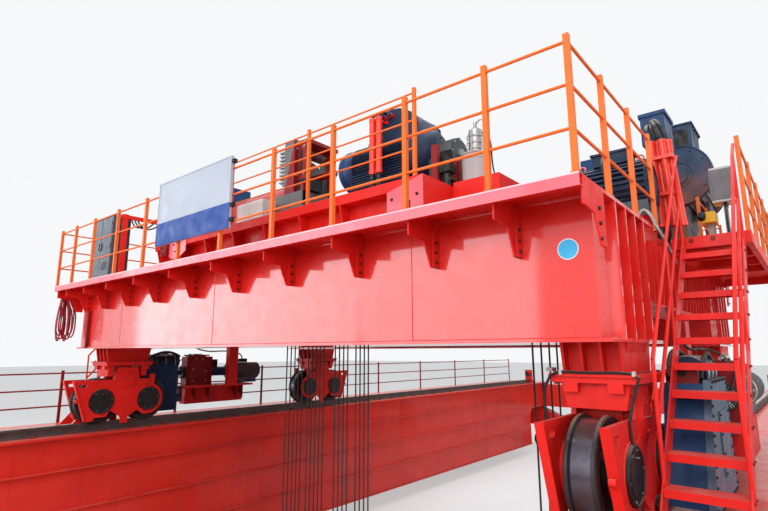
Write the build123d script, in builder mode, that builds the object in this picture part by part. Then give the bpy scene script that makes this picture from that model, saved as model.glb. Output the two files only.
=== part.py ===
"""Foundry overhead crane: a double-girder bridge and its hoist trolley.

X runs along the bridge girders, Y across them and Z up. The origin is at the
middle of the bridge, level with the lowest point of the runway wheels. The
trolley stands left of the middle, as in the view that the sizes came from.
Near means the -Y side, far the +Y side, front the -X side and rear the +X side.
"""

from build123d import *
import math
import os

os.makedirs("parts", exist_ok=True)

# Bridge girders
girder_length = 29800
deep_length = 25400
girder_bottom = 450
end_bottom = 2050
girder_top = 3195
web_inside = 4620
web_outside = 6450
flange_inside = 4450
flange_outside = 6750
flange_thick = 40
bottom_lip = 50
step_radius = 300
stiffener_inset = 1400
stiffener_depth = 90
stiffener_thick = 16
stiffener_levels = (1170, 1880, 2580)

# Trolley rails on the girders
rail_gauge = 9600
rail_height = 170
rail_end_gap = 20
rail_base_width = 150
rail_head_width = 100
rail_web_width = 40
rail_base_thick = 30
rail_head_thick = 45
stop_height = 620
stop_width = 360
stop_length = 300
stop_inset = 1800
stop_rib_rise = 500
buffer_radius = 110
buffer_length = 150
buffer_level = 430

# Bridge ends and runway wheels
end_beam_width = 800
end_beam_top = 3100
runway_inset = 450
equaliser_half = 1950
equaliser_width = 480
equaliser_bottom = 1150
equaliser_tip = 1500
equaliser_seat = 600
runway_bogie_offset = 1250
runway_wheel_offset = 520
runway_wheel_radius = 400
runway_flange_radius = 425
runway_frame_top = 1000
runway_plate = 40
runway_gap = 320
runway_cap_radius = 210
runway_cap_thick = 30
runway_frame_half = 300
runway_bar_depth = 250
runway_bar_half = 80
runway_wheel_width = 170
runway_flange_width = 30
runway_hub_radius = 130

# Railings
post_width = 60
post_thick = 12
tube_radius = 17
rail_step = 350
post_above = 60
girder_post_pitch = 2650
side_post_pitch = 815
cross_post_ys = (520, 1570, 2565, 3520, 4365)

# Trolley layout
trolley_x = -3600
trolley_half_width = 5100
beam_offset = 2700
beam_width = 1600
beam_bottom = 4770
deck_top = 5970
beam_plate = 30
beam_web_setback = 40
beam_end_setback = 100
end_rib_pitch = 300
platform_overhang = 500
platform_plate = 12
fascia_depth = 120
fascia_thick = 15
sill_width = 500
sill_bottom = 5170
deck_beam_width = 150
deck_beam_gap = 20

# Platform brackets, in order from the near end
bracket_ys = (-4380, -3520, -2530, -1400, -290, 800, 1900, 2900, 3840, 4660)
bracket_thick = 16
bracket_drop = 650
bracket_foot = 90
bracket_arm = 340
bracket_arm_drop = 20
bracket_strip = 110
strip_thick = 44

# Trolley wheels
wheel_radius = 400
wheel_flange_radius = 430
wheel_tread_width = 150
wheel_flange_width = 50
wheel_rim_depth = 80
wheel_dish = 40
wheel_hub_radius = 150
wheel_hub_reach = 130
wheel_chamfer = 12
wheel_gap = 0.3
wheel_offset = 460
axle_radius = 80
axle_half = 255

# Bogies
plate_inside = 220
plate_thick = 45
bearing_radius = 235
bearing_clear = 12
housing_radius = 300
cap_radius = 230
cap_thick = 22
pin_rise = 390
pin_radius = 100
pin_ring_radius = 180
pin_ring_thick = 12
pin_cap_radius = 140
pin_cap_thick = 24
bore_spare = 5
lifting_slot_length = 150
lifting_slot_width = 56
lifting_slot_place = (820, 300)
bogie_ear = (520, 380)
bogie_ear_size = (90, 220)
edge_flange_width = 75
edge_flange_inset = 15

# Bogie side plate: distance outward from the pin and height above the axles
bogie_outline = (
    (970, 400),
    (720, -360),
    (600, -360),
    (560, -300),
    (360, -300),
    (280, -180),
    (65, -330),
    (65, -440),
    (-65, -440),
    (-65, -330),
    (-280, -180),
    (-360, -300),
    (-460, -300),
    (-460, 400),
    (-250, 400),
    (-200, 640),
    (200, 640),
    (250, 400),
)
bogie_toe = ((994, 400), (744, -360), (720, -360), (970, 400))

# Saddles under the trolley beams
saddle_half_x = 450
saddle_half_y = 345
saddle_top_y = 270
saddle_neck_x = 330
saddle_neck_y = 215
saddle_fin = 24
saddle_fin_foot = 400
saddle_fin_ys = (-240, -80, 80, 240)
saddle_upper_flange = 25
saddle_lower_flange = 50
saddle_flange_top = 4515
saddle_flange_lip = 30
saddle_seat_top_y = 280
saddle_seat_foot_y = 235
saddle_seat_foot = 4230
saddle_seat_thick = 110
saddle_pocket_half = 275
saddle_lug_radius = 130
saddle_block_length = 100
saddle_block_ys = (120, 240)
saddle_block_drop = 75

# Main hoist: two drums side by side, both along Y
drum_x_offset = 790
drum_radius = 620
drum_ys = (300, 2820)
drum_axis = 6850
drum_flange = 45
drum_rim = 60
drum_shaft = 120
drum_shaft_length = 260
running_gap = 0.3
pedestal_thick = 120
pedestal_gap = 55
pedestal_foot = 350
pedestal_head = 190
pedestal_cap = 240

# Auxiliary hoist drum
aux_drum_radius = 450
aux_drum_ys = (-4300, -2580)
aux_drum_axis = 6600
aux_drum_x = -2900
aux_side_thick = 100
aux_side_foot = 420

# Rope falls: middle X and Y, columns along X, their pitch, half the row gap
main_far_falls = (-3600, 2240, 5, 110, 340)
main_near_falls = (-3600, 880, 4, 120, 280)
aux_falls = (-3600, -3440, 4, 300, 340)
rope_radius = 14
rope_seat = 12.3
fall_margin = 110
upper_block_bottom = 5450
block_side = 50
block_lip = 40
sheave_level = 930
sheave_thick = 60
sheave_side_gap = 20
sheave_pin_radius = 70
crosshead_level = 650
crosshead_height = 140
crosshead_half = 150
slot_margin = 60

# Hooks
hook_level = 310
hook_outer = 260
hook_inner = 125
hook_thick = 150
hook_mouth = 95
single_mouth = 120
hook_spread = 190
hook_shank_radius = 75

# Stairs and landings at both ends of the trolley
stair_offset = 415
stair_width = 570
stair_foot = -6950
stair_head = -4580
stair_clear = 20
stair_treads = 11
stringer_thick = 12
stringer_depth = 170
tread_depth = 200
tread_thick = 60
tread_plate = 10
handrail_rise = 1000
handrail_foot = 360
handrail_drop = 480
landing_margin = 60
landing_end = -100
landing_channel = 130
landing_beam_width = 70
landing_beam_xs = (-4400, -3600, -2800, -2000)
landing_bays = 4

# Travel drives beside the bogies
drive_offset = 480
drive_width = 320
drive_xs = (-6080, -4900)
drive_zs = (3420, 4410)
drive_slope = 330
drive_toe = 60
drive_flange = 60
drive_flange_lip = 35
drive_hub_radius = 150
drive_cover_radius = 160
drive_cover_rise = 80
drive_cover_length = 620
drive_shaft_radius = 60
drive_disc_radius = 110
drive_disc_thick = 30
drive_axis = 4230
drive_brake_gap = 320
drive_brake_half = 120
drive_brake_length = 680
drive_brake_top = 4590
drive_motor_gap = 500
drive_motor_radius = 205
drive_motor_length = 900
drive_motor_fins = 15
drive_fin_thick = 14
drive_fin_rise = 24
drive_table_top = 3930
drive_table_thick = 40
drive_box_foot = 3500
torque_arm_width = 130

# Raised machinery beam over the front cross beam
raised_height = 730
raised_inset = 500
raised_web_inset = 750
raised_ys = (-3030, 3180)
raised_band = 130
raised_box_end = -2500
plinth_ys = (-3030, -500)
plinth_xs = (-6400, -5090)
low_plinth_xs = (-5950, -5000)
low_plinth_ys = (-3650, -3030)
low_plinth_top = 6750
gusset_pitch = 800
gusset_foot = 160
gusset_thick = 20
inner_post_ys = (-2900, -1050, 800, 2650)
inner_post = 40
inner_rail_inset = 30
inner_tube_radius = 12

# Front hoist motor, its coupling brake and gearbox
front_motor_x = -5600
front_motor_axis = 7530
front_motor_ys = (-2280, -600)
front_motor_cover = 280
front_motor_radius = 400
front_bell = ((405, 0), (405, 220), (360, 320), (250, 390))
front_box_ys = (-2590, -1650)
front_box_half = 300
front_box_zs = (7850, 8190)
front_box_corner = 130
front_brake_ys = (-2930, -2670)
front_brake_radius = 230
front_brake_axis = 7260
front_release_xs = (-5950, -5760)
caliper_half_x = 330
caliper_half_y = 330
caliper_arm = 120
caliper_disc_radius = 330
caliper_disc_thick = 30
caliper_top = 8100
caliper_spring_radius = 90
guard_half = 160
guard_axis = 7350
guard_start = 420
front_gearbox_xs = (-5950, -5250)
front_gearbox_ys = (2150, 3000)
front_gearbox_top = 7850
gearbox_lip = 60
gearbox_lip_thick = 50
motor_fins = 28
motor_fin_rise = 45
motor_fin_half_angle = 2.2

# Side hoist motor, brake and gearbox
side_motor_x = -4950
side_motor_inset = 70
side_motor_length = 850
side_motor_axis = 6550
side_motor_radius = 310
side_cowl_length = 200
side_cowl_radius = 290
side_brake_radius = 240
side_brake_length = 220
side_base_half = 270
side_base_top = 6330
side_plinth_top = 6150
plinth_lip = 60
side_gearbox_xs = (-2300, -900)
side_gearbox_ys = (-4150, -3400)
side_gearbox_top = 8000

# Rear hoist motor
rear_motor_x = -1900
rear_motor_length = 1500
rear_motor_inset = 300
rear_motor_axis = 7530
rear_motor_radius = 450
rear_motor_shell = 500
rear_shell_thick = 120
rear_box_length = 760
rear_box_top = 8380
rear_box_half = 270
rear_pedestal_inset = 250
rear_pedestal_width = 500

# Control gear on the walkways
cabinet_xs = (-7200, -6870)
cabinet_ys = (3690, 4590)
cabinet_height = 1300
cabinet_plinth = 90
cabinet_plinth_inset = 30
portal_x = -6750
portal_ys = (2950, 4350)
portal_bar = 100
portal_height = 1400
portal_foot = 60
portal_foot_thick = 20
control_box_xs = (-6400, -6150)
control_box_ys = (190, 870)
control_box_height = 380
pail_place = (-5750, -3250)
pail_radius = 178
pail_height = 360
pump_radius = 85
pump_height = 330
conduit_radius = 34
conduit_outs = (-115, -60, 0, 55)
conduit_xs = (-4560, -4490)
conduit_zs = (6150, 7180)
conduit_clamp_zs = (6420, 6900)
conduit_clamp = 30
conduit_rack = 60
motor_conduit_x = -6050
motor_conduit_ys = (-1290, -1170)
motor_conduit_zs = (6700, 8080)
landing_box_x = -2700
landing_box_out = 390
landing_box_size = (300, 280, 500)
landing_box_foot = 6750
switch_out = 180
switch_foot = 6480
switch_size = (330, 170, 150)
device_post = 50
sign_thick = 30
sign_ys = (-780, 1060)
sign_zs = (6230, 7170)

trolley_front = trolley_x - beam_offset - beam_width / 2
trolley_rear = trolley_x + beam_offset + beam_width / 2
rail_top = girder_top + rail_height
axle_level = rail_top + wheel_radius + wheel_gap
rail_y = rail_gauge / 2
girder_y = (web_inside + web_outside) / 2
runway_line = girder_length / 2 - runway_inset
stop_face = girder_length / 2 - stop_inset
stiffener_half = deep_length / 2 - stiffener_inset
bay_front = trolley_front + beam_width
bay_rear = trolley_rear - beam_width
raised_top = deck_top + raised_height
raised_front = trolley_front + raised_inset
trolley_end = trolley_half_width - beam_end_setback
sill_inside = trolley_end - sill_width
stair_y = trolley_half_width + stair_offset
landing_out = stair_y + stair_width / 2 + landing_margin
rope_groups = (main_far_falls, main_near_falls, aux_falls)


def slab(xs, ys, zs, mode=Mode.ADD):
    """Add a block between two limits on each axis."""
    xs, ys, zs = sorted(xs), sorted(ys), sorted(zs)
    with Locations((sum(xs) / 2, sum(ys) / 2, sum(zs) / 2)):
        Box(xs[1] - xs[0], ys[1] - ys[0], zs[1] - zs[0], mode=mode)


def plate(plane, points, thick):
    """Add a flat plate of the given outline, centred on a plane."""
    with BuildSketch(plane) as section:
        with BuildLine():
            Polyline(*points, close=True)
        make_face()
    extrude(section.sketch, amount=thick / 2, both=True)


def rod(start, end, radius, sides=8):
    """Add a straight bar with a few flat sides between two points."""
    line = Vector(*end) - Vector(*start)
    with BuildSketch(Plane(origin=start, z_dir=line)) as section:
        RegularPolygon(radius, sides)
    extrude(section.sketch, amount=line.length)


def barrel(axis, centre, radius, length, mode=Mode.ADD):
    """Add a cylinder along X, Y or Z about its centre."""
    turns = {"x": (0, 90, 0), "y": (90, 0, 0), "z": (0, 0, 0)}
    with Locations(Location(centre, turns[axis])):
        Cylinder(radius, length, mode=mode)


def finned_body(plane, length, radius):
    """Add a motor body: a core with straight fins along its axis."""
    points = []
    for i in range(motor_fins):
        turn = 360 * i / motor_fins
        for reach, shift in ((-motor_fin_rise, -1), (0, -1), (0, 1), (-motor_fin_rise, 1)):
            angle = math.radians(turn + shift * motor_fin_half_angle)
            points.append(((radius + reach) * math.cos(angle), (radius + reach) * math.sin(angle)))
    with BuildSketch(plane) as section:
        with BuildLine():
            Polyline(*points, close=True)
        make_face()
    extrude(section.sketch, amount=length)


def save(piece, name):
    """Label a finished piece and write its file."""
    piece.label = name
    export_step(piece, f"parts/{name}.step")


def make_girder(side, name):
    """Box girder with stepped ends, flanges and the inner web's stiffeners."""
    middle = side * girder_y
    half, deep = girder_length / 2, deep_length / 2
    outline = [
        (-half, girder_top),
        (half, girder_top),
        (half, end_bottom),
        (deep, end_bottom),
        (deep, girder_bottom),
        (-deep, girder_bottom),
        (-deep, end_bottom),
        (-half, end_bottom),
    ]
    with BuildPart() as girder:
        with BuildSketch(Plane.XZ.offset(-middle)) as profile:
            with BuildLine():
                Polyline(*outline, close=True)
            make_face()
            corners = profile.vertices()
            notches = [v for v in corners if abs(abs(v.X) - deep) < 1 and abs(v.Y - end_bottom) < 1]
            fillet(notches, step_radius)
        extrude(amount=(web_outside - web_inside) / 2, both=True)
        flange_ys = (side * flange_inside, side * flange_outside)
        slab((-half, half), flange_ys, (girder_top - flange_thick, girder_top))
        lip_ys = (side * (web_inside - bottom_lip), side * (web_outside + bottom_lip))
        slab((-deep, deep), lip_ys, (girder_bottom, girder_bottom + flange_thick / 2))
        for level in stiffener_levels:
            bar_ys = (side * (web_inside - stiffener_depth), side * web_inside)
            bar_zs = (level - stiffener_thick / 2, level + stiffener_thick / 2)
            slab((-stiffener_half, stiffener_half), bar_ys, bar_zs)
    save(girder.part, name)


def make_rails():
    """Crane rails on both girders: base, web and head."""
    with BuildPart() as rails:
        with BuildSketch(Plane.YZ):
            for y in (-rail_y, rail_y):
                with Locations((y, girder_top + rail_base_thick / 2)):
                    Rectangle(rail_base_width, rail_base_thick)
                with Locations((y, girder_top + rail_height / 2)):
                    Rectangle(rail_web_width, rail_height)
                with Locations((y, rail_top - rail_head_thick / 2)):
                    Rectangle(rail_head_width, rail_head_thick)
        extrude(amount=stop_face - rail_end_gap, both=True)
    save(rails.part, "trolley_rails")


def make_rail_stops():
    """End stops behind the rail ends: a plate with a buffer, held by a tapered rib."""
    with BuildPart() as stops:
        for end in (-1, 1):
            near = end * stop_face
            face = end * (stop_face + flange_thick)
            far = end * (stop_face + flange_thick + stop_length)
            for side in (-1, 1):
                middle = side * rail_y
                ys = (middle - stop_width / 2, middle + stop_width / 2)
                slab((near, face), ys, (girder_top, girder_top + stop_height))
                rib = [(face, girder_top), (far, girder_top), (face, girder_top + stop_rib_rise)]
                plate(Plane.XZ.offset(-middle), rib, stop_width / 2)
                centre = (near - end * buffer_length / 2, middle, girder_top + buffer_level)
                barrel("x", centre, buffer_radius, buffer_length)
    save(stops.part, "rail_stops")


def make_end_beams():
    """Box beams that tie the two girders together at both ends of the bridge."""
    with BuildPart() as beams:
        for end in (-1, 1):
            outer = end * girder_length / 2
            xs = (outer, outer - end * end_beam_width)
            slab(xs, (-web_inside, web_inside), (end_bottom, end_beam_top))
    save(beams.part, "end_beams")


def make_equalisers():
    """Rocker beams under the four girder ends, each over two wheel bogies."""
    with BuildPart() as beams:
        for end in (-1, 1):
            for side in (-1, 1):
                middle = side * girder_y
                outline = [
                    (middle - equaliser_seat, end_bottom),
                    (middle + equaliser_seat, end_bottom),
                    (middle + equaliser_half, equaliser_tip),
                    (middle + equaliser_half, equaliser_bottom),
                    (middle - equaliser_half, equaliser_bottom),
                    (middle - equaliser_half, equaliser_tip),
                ]
                plate(Plane.YZ.offset(end * runway_line), outline, equaliser_width)
    save(beams.part, "runway_equalisers")


def runway_bogie_places():
    """X and Y of each runway bogie's middle."""
    places = []
    for end in (-1, 1):
        for side in (-1, 1):
            for step in (-1, 1):
                places.append((end * runway_line, side * girder_y + step * runway_bogie_offset))
    return places


def make_runway_bogies():
    """Two-wheel runway bogie frames with bearing housings and caps."""
    with BuildPart() as bogies:
        for line, middle in runway_bogie_places():
            for face in (-1, 1):
                inner = line + face * runway_gap / 2
                with BuildSketch(Plane.YZ.offset(inner)) as frame:
                    for step in (-1, 1):
                        with Locations((middle + step * runway_wheel_offset, runway_flange_radius)):
                            Circle(runway_cap_radius)
                    with Locations((middle, runway_frame_top - runway_bar_depth / 2)):
                        Rectangle(2 * runway_frame_half, runway_bar_depth)
                    make_hull()
                extrude(frame.sketch, amount=face * runway_plate)
            bar_xs = (line - runway_gap / 2, line + runway_gap / 2)
            bar_ys = (middle - runway_bar_half, middle + runway_bar_half)
            slab(bar_xs, bar_ys, (runway_frame_top - runway_bar_depth, equaliser_bottom))
            for step in (-1, 1):
                for face in (-1, 1):
                    cap_x = line + face * (runway_gap / 2 + runway_plate + runway_cap_thick / 2)
                    centre = (cap_x, middle + step * runway_wheel_offset, runway_flange_radius)
                    barrel("x", centre, runway_hub_radius, runway_cap_thick)
    save(bogies.part, "runway_bogies")


def make_runway_wheels():
    """Double-flanged runway wheels between the bogie plates."""
    with BuildPart() as wheels:
        for line, middle in runway_bogie_places():
            for step in (-1, 1):
                place = middle + step * runway_wheel_offset
                centre = (line, place, runway_flange_radius)
                barrel("x", centre, runway_wheel_radius, runway_wheel_width)
                for face in (-1, 1):
                    rim = (line + face * runway_wheel_width / 2, place, runway_flange_radius)
                    barrel("x", rim, runway_flange_radius, runway_flange_width)
                barrel("x", centre, runway_hub_radius, runway_gap)
    save(wheels.part, "runway_wheels")


def make_girder_railing(side, name):
    """Safety railing along the outer edge of one girder."""
    y = side * (flange_outside - post_width)
    count = int(girder_length / girder_post_pitch)
    pitch = (girder_length - 2 * post_width) / count
    end = girder_length / 2 - post_width
    with BuildPart() as railing:
        for i in range(count + 1):
            x = -end + i * pitch
            xs = (x - post_width / 2, x + post_width / 2)
            slab(xs, (y - post_thick, y + post_thick), (girder_top, girder_top + 3 * rail_step + post_above))
        for level in (1, 2, 3):
            z = girder_top + level * rail_step
            rod((-end, y, z), (end, y, z), tube_radius)
    save(railing.part, name)


def make_cross_beam(front, name):
    """Deep box beam across the trolley, with flanges and end ribs."""
    low = trolley_front if front else trolley_rear - beam_width
    high = low + beam_width
    half = trolley_half_width
    with BuildPart() as beam:
        web_xs = (low + beam_web_setback, high - beam_web_setback)
        slab(web_xs, (-trolley_end, trolley_end), (beam_bottom, deck_top))
        slab((low, high), (-half, half), (beam_bottom, beam_bottom + beam_plate))
        slab((low, high), (-half, half), (deck_top - beam_plate, deck_top))
        middle = (low + high) / 2
        for side in (-1, 1):
            for step in (-1.5, -0.5, 0.5, 1.5):
                x = middle + step * end_rib_pitch
                xs = (x - beam_plate / 2, x + beam_plate / 2)
                slab(xs, (side * trolley_end, side * half), (beam_bottom, deck_top))
    save(beam.part, name)


def slot_limits(group):
    """X and Y limits of the deck opening for one group of rope falls."""
    x, y, columns, pitch, row = group
    half_x = (columns - 1) * pitch / 2 + fall_margin + slot_margin
    half_y = row + fall_margin + slot_margin
    return (x - half_x, x + half_x), (y - half_y, y + half_y)


def make_deck():
    """Deck plate between the cross beams, open where the ropes go down."""
    with BuildPart() as deck:
        slab((bay_front, bay_rear), (-sill_inside, sill_inside), (deck_top - beam_plate, deck_top))
        for group in rope_groups:
            xs, ys = slot_limits(group)
            slab(xs, ys, (deck_top - beam_plate, deck_top), mode=Mode.SUBTRACT)
    save(deck.part, "deck")


def make_deck_beams():
    """Beams under the deck: one above each rail and two beside each rope opening."""
    with BuildPart() as beams:
        for side in (-1, 1):
            slab((bay_front, bay_rear), (side * sill_inside, side * trolley_end), (sill_bottom, deck_top))
        for group in rope_groups:
            low, high = slot_limits(group)[1]
            for inner, outward in ((low, -1), (high, 1)):
                edge = inner + outward * deck_beam_gap
                ys = (edge, edge + outward * deck_beam_width)
                slab((bay_front, bay_rear), ys, (sill_bottom, deck_top - beam_plate))
    save(beams.part, "deck_beams")


def make_platform(front, name):
    """Walkway plate and edge channel on tapered brackets along one cross beam."""
    inner = trolley_front if front else trolley_rear
    outward = -1 if front else 1
    edge = inner + outward * platform_overhang
    web = inner - outward * beam_web_setback
    channel = edge - outward * fascia_depth / 2
    half = trolley_half_width
    under = deck_top - platform_plate
    low = deck_top - fascia_depth
    outline = [
        (inner, under),
        (edge, under),
        (edge, low),
        (inner + outward * bracket_arm, low - bracket_arm_drop),
        (inner + outward * bracket_foot, deck_top - bracket_drop),
        (web, deck_top - bracket_drop),
        (web, deck_top - beam_plate),
        (inner, deck_top - beam_plate),
    ]
    ends = half - bracket_thick / 2
    with BuildPart() as platform:
        slab((inner, edge), (-half, half), (under, deck_top))
        slab((edge, edge - outward * fascia_thick), (-half, half), (low, deck_top))
        slab((edge, channel), (-half, half), (low, low + fascia_thick))
        for y in (-ends, *bracket_ys, ends):
            plate(Plane.XZ.offset(-y), outline, bracket_thick)
        for y in bracket_ys:
            ys = (y - strip_thick / 2, y + strip_thick / 2)
            slab((web, web + outward * bracket_strip), ys, (deck_top - bracket_drop, deck_top - beam_plate))
    save(platform.part, name)


def railing_line(points, ends):
    """Add posts at the given points and three tubes between the two ends."""
    for x, y in points:
        xs = (x - post_width / 2, x + post_width / 2)
        ys = (y - post_width / 2, y + post_width / 2)
        slab(xs, ys, (deck_top, deck_top + 3 * rail_step + post_above))
    for level in (1, 2, 3):
        z = deck_top + level * rail_step
        rod((*ends[0], z), (*ends[1], z), tube_radius)


def make_cross_railing(front, name):
    """Railing along the outer edge of one walkway."""
    outward = -1 if front else 1
    edge = (trolley_front if front else trolley_rear) + outward * (platform_overhang - post_width / 2)
    half = trolley_half_width - post_width / 2
    ys = [*cross_post_ys, half]
    with BuildPart() as railing:
        railing_line([(edge, s * y) for y in ys for s in (-1, 1)], [(edge, -half), (edge, half)])
    save(railing.part, name)


def make_side_railings():
    """Railings at the trolley's ends and round the landings, open where the stairs arrive."""
    reach = platform_overhang - post_width
    with BuildPart() as railings:
        for side in (-1, 1):
            y = side * (trolley_half_width - post_width / 2)
            for start, outward in ((trolley_front, -1), (trolley_rear, 1)):
                corner = start + outward * reach
                posts = [start + outward * (platform_overhang - side_post_pitch * i) for i in (1, 2, 3)]
                railing_line([(x, y) for x in posts], [(corner, y), (posts[-1], y)])
            outer = side * (landing_out - post_width / 2)
            first, last = stair_head + 2 * post_width, landing_end - post_width
            pitch = (last - first) / landing_bays
            places = [(first + i * pitch, outer) for i in range(landing_bays + 1)]
            railing_line(places, [places[0], places[-1]])
    save(railings.part, "side_railings")


def make_raised_beam():
    """Machinery beam over the front cross beam, with gussets under its flange."""
    low, high = raised_ys
    front, web = raised_front, trolley_front + raised_web_inset
    top, band = raised_top, raised_top - raised_band
    with BuildPart() as beam:
        slab((web, plinth_xs[0]), (low, high), (deck_top, top))
        slab((front, plinth_xs[0]), (low, high), (band, top))
        slab((front, web), (low, raised_box_end), (deck_top, band))
        slab(plinth_xs, plinth_ys, (deck_top, top))
        slab(low_plinth_xs, low_plinth_ys, (deck_top, low_plinth_top))
        slab((plinth_xs[0], front_gearbox_xs[1]), (-caliper_half_y, high), (deck_top, top))
        for i in range(7):
            y = raised_box_end + (i + 1) * gusset_pitch
            outline = [(web, band), (front, band), (front + gusset_foot, deck_top), (web, deck_top)]
            plate(Plane.XZ.offset(-y), outline, gusset_thick)
    save(beam.part, "raised_beam")


def make_inner_railing():
    """Railing on the front edge of the raised beam."""
    x = raised_front + inner_rail_inset
    top = raised_top + 3 * rail_step + post_above
    low, high = inner_post_ys[0], inner_post_ys[-1]
    with BuildPart() as railing:
        for y in inner_post_ys:
            xs = (x - inner_post / 2, x + inner_post / 2)
            slab(xs, (y - inner_post / 2, y + inner_post / 2), (raised_top, top))
        for level in (1, 2, 3):
            z = raised_top + level * rail_step
            rod((x, low, z), (x, high, z), inner_tube_radius)
    save(railing.part, "inner_railing")


def make_saddles(front, name):
    """Seats under one cross beam, with the lugs that the bogie pins go through."""
    x = trolley_x + (-beam_offset if front else beam_offset)
    pin_level = axle_level + pin_rise
    flange_foot = saddle_flange_top - saddle_upper_flange - saddle_lower_flange
    with BuildPart() as saddles:
        for y in (-rail_y, rail_y):
            with BuildSketch(Plane((x, y, beam_bottom))) as top:
                Rectangle(2 * saddle_neck_x, 2 * saddle_top_y)
            with BuildSketch(Plane((x, y, saddle_flange_top))) as foot:
                Rectangle(2 * saddle_neck_x, 2 * saddle_neck_y)
            loft([top.sketch, foot.sketch])
            fin = [
                (x - saddle_half_x, beam_bottom),
                (x + saddle_half_x, beam_bottom),
                (x + saddle_fin_foot, saddle_flange_top),
                (x - saddle_fin_foot, saddle_flange_top),
            ]
            for offset in saddle_fin_ys:
                plate(Plane.XZ.offset(-y - offset), fin, saddle_fin)
            half_x, half_y = saddle_half_x, saddle_half_y
            upper_zs = (saddle_flange_top - saddle_upper_flange, saddle_flange_top)
            lip = saddle_flange_lip
            lip_ys = (y - half_y - lip / 3, y + half_y + lip / 3)
            slab((x - half_x - lip, x + half_x + lip), lip_ys, upper_zs)
            slab((x - half_x, x + half_x), (y - half_y, y + half_y), (flange_foot, upper_zs[0]))
            for end in (-1, 1):
                seat = [
                    (y - saddle_seat_top_y, flange_foot),
                    (y + saddle_seat_top_y, flange_foot),
                    (y + saddle_seat_foot_y, saddle_seat_foot),
                    (y - saddle_seat_foot_y, saddle_seat_foot),
                ]
                seat_x = x + end * (saddle_pocket_half + saddle_seat_thick / 2)
                plate(Plane.YZ.offset(seat_x), seat, saddle_seat_thick)
                for side in (-1, 1):
                    ys = [y + side * reach for reach in saddle_block_ys]
                    xs = (x + end * half_x, x + end * (half_x - saddle_block_length))
                    slab(xs, ys, (flange_foot - saddle_block_drop, flange_foot))
            lug_xs = (x - saddle_lug_radius, x + saddle_lug_radius)
            lug_ys = (y - wheel_hub_reach, y + wheel_hub_reach)
            slab(lug_xs, lug_ys, (pin_level, flange_foot))
            barrel("y", (x, y, pin_level), saddle_lug_radius, 2 * wheel_hub_reach)
            hole_length = 2 * wheel_hub_reach + slot_margin
            barrel("y", (x, y, pin_level), pin_radius + wheel_gap, hole_length, mode=Mode.SUBTRACT)
    save(saddles.part, name)


def make_bogie(front, side, name):
    """Two-wheel bogie: side plates, bearing housings, caps and the pin."""
    x = trolley_x + (-beam_offset if front else beam_offset)
    y = side * rail_y
    outward = -1 if front else 1
    pin_level = axle_level + pin_rise
    toe = [(x + outward * s, axle_level + h) for s, h in bogie_toe]
    with BuildPart() as bogie:
        for face in (-1, 1):
            inner = y + face * plate_inside
            with BuildSketch(Plane.XZ.offset(-inner)) as outline:
                with BuildLine():
                    Polyline(*[(x + outward * s, axle_level + h) for s, h in bogie_outline], close=True)
                make_face()
                with Locations((x - outward * wheel_offset, axle_level)):
                    Circle(housing_radius)
                with Locations((x - outward * bogie_ear[0], axle_level + bogie_ear[1])):
                    Rectangle(*bogie_ear_size)
                with Locations((x + outward * lifting_slot_place[0], axle_level + lifting_slot_place[1])):
                    SlotOverall(lifting_slot_length, lifting_slot_width, mode=Mode.SUBTRACT)
            extrude(outline.sketch, amount=-face * plate_thick)
            strip = y + face * (plate_inside + edge_flange_width / 2 - edge_flange_inset)
            plate(Plane.XZ.offset(-strip), toe, edge_flange_width)
            for step in (-1, 1):
                wheel_x = x + step * wheel_offset
                housing = wheel_hub_reach + bearing_clear
                middle = y + face * (housing + plate_inside) / 2
                barrel("y", (wheel_x, middle, axle_level), bearing_radius, plate_inside - housing)
                outer = y + face * (plate_inside + plate_thick + cap_thick / 2)
                barrel("y", (wheel_x, outer, axle_level), cap_radius, cap_thick)
                depth = axle_half + bore_spare
                centre = (wheel_x, y + face * depth / 2, axle_level)
                barrel("y", centre, axle_radius + wheel_gap, depth, mode=Mode.SUBTRACT)
            ring = y + face * (plate_inside + plate_thick + pin_ring_thick / 2)
            barrel("y", (x, ring, pin_level), pin_ring_radius, pin_ring_thick)
            cap = y + face * (plate_inside + plate_thick + pin_cap_thick / 2)
            barrel("y", (x, cap, pin_level), pin_cap_radius, pin_cap_thick)
        barrel("y", (x, y, pin_level), pin_radius, 2 * plate_inside)
    save(bogie.part, name)


def make_wheel(front, step, side, name):
    """Double-flanged wheel with its hub and axle ends in one piece."""
    x = trolley_x + (-beam_offset if front else beam_offset) + step * wheel_offset
    y = side * rail_y
    tread = wheel_tread_width / 2
    rim = tread + wheel_flange_width
    rim_inside = wheel_flange_radius - wheel_rim_depth
    outline = [
        (0, axle_half),
        (axle_radius, axle_half),
        (axle_radius, wheel_hub_reach),
        (wheel_hub_radius, wheel_hub_reach),
        (wheel_hub_radius, wheel_dish),
        (rim_inside, wheel_dish),
        (rim_inside, rim),
        (wheel_flange_radius - wheel_chamfer, rim),
        (wheel_flange_radius, rim - wheel_chamfer),
        (wheel_flange_radius, tread + wheel_chamfer),
        (wheel_radius, tread),
    ]
    lower = [(r, -d) for r, d in reversed(outline)]
    with BuildPart() as wheel:
        with BuildSketch(Plane(origin=(x, y, axle_level), x_dir=(0, 0, 1), z_dir=(1, 0, 0))):
            with BuildLine():
                Polyline(*outline, *lower, close=True)
            make_face()
        revolve(axis=Axis((x, y, axle_level), (0, 1, 0)))
    save(wheel.part, name)


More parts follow.
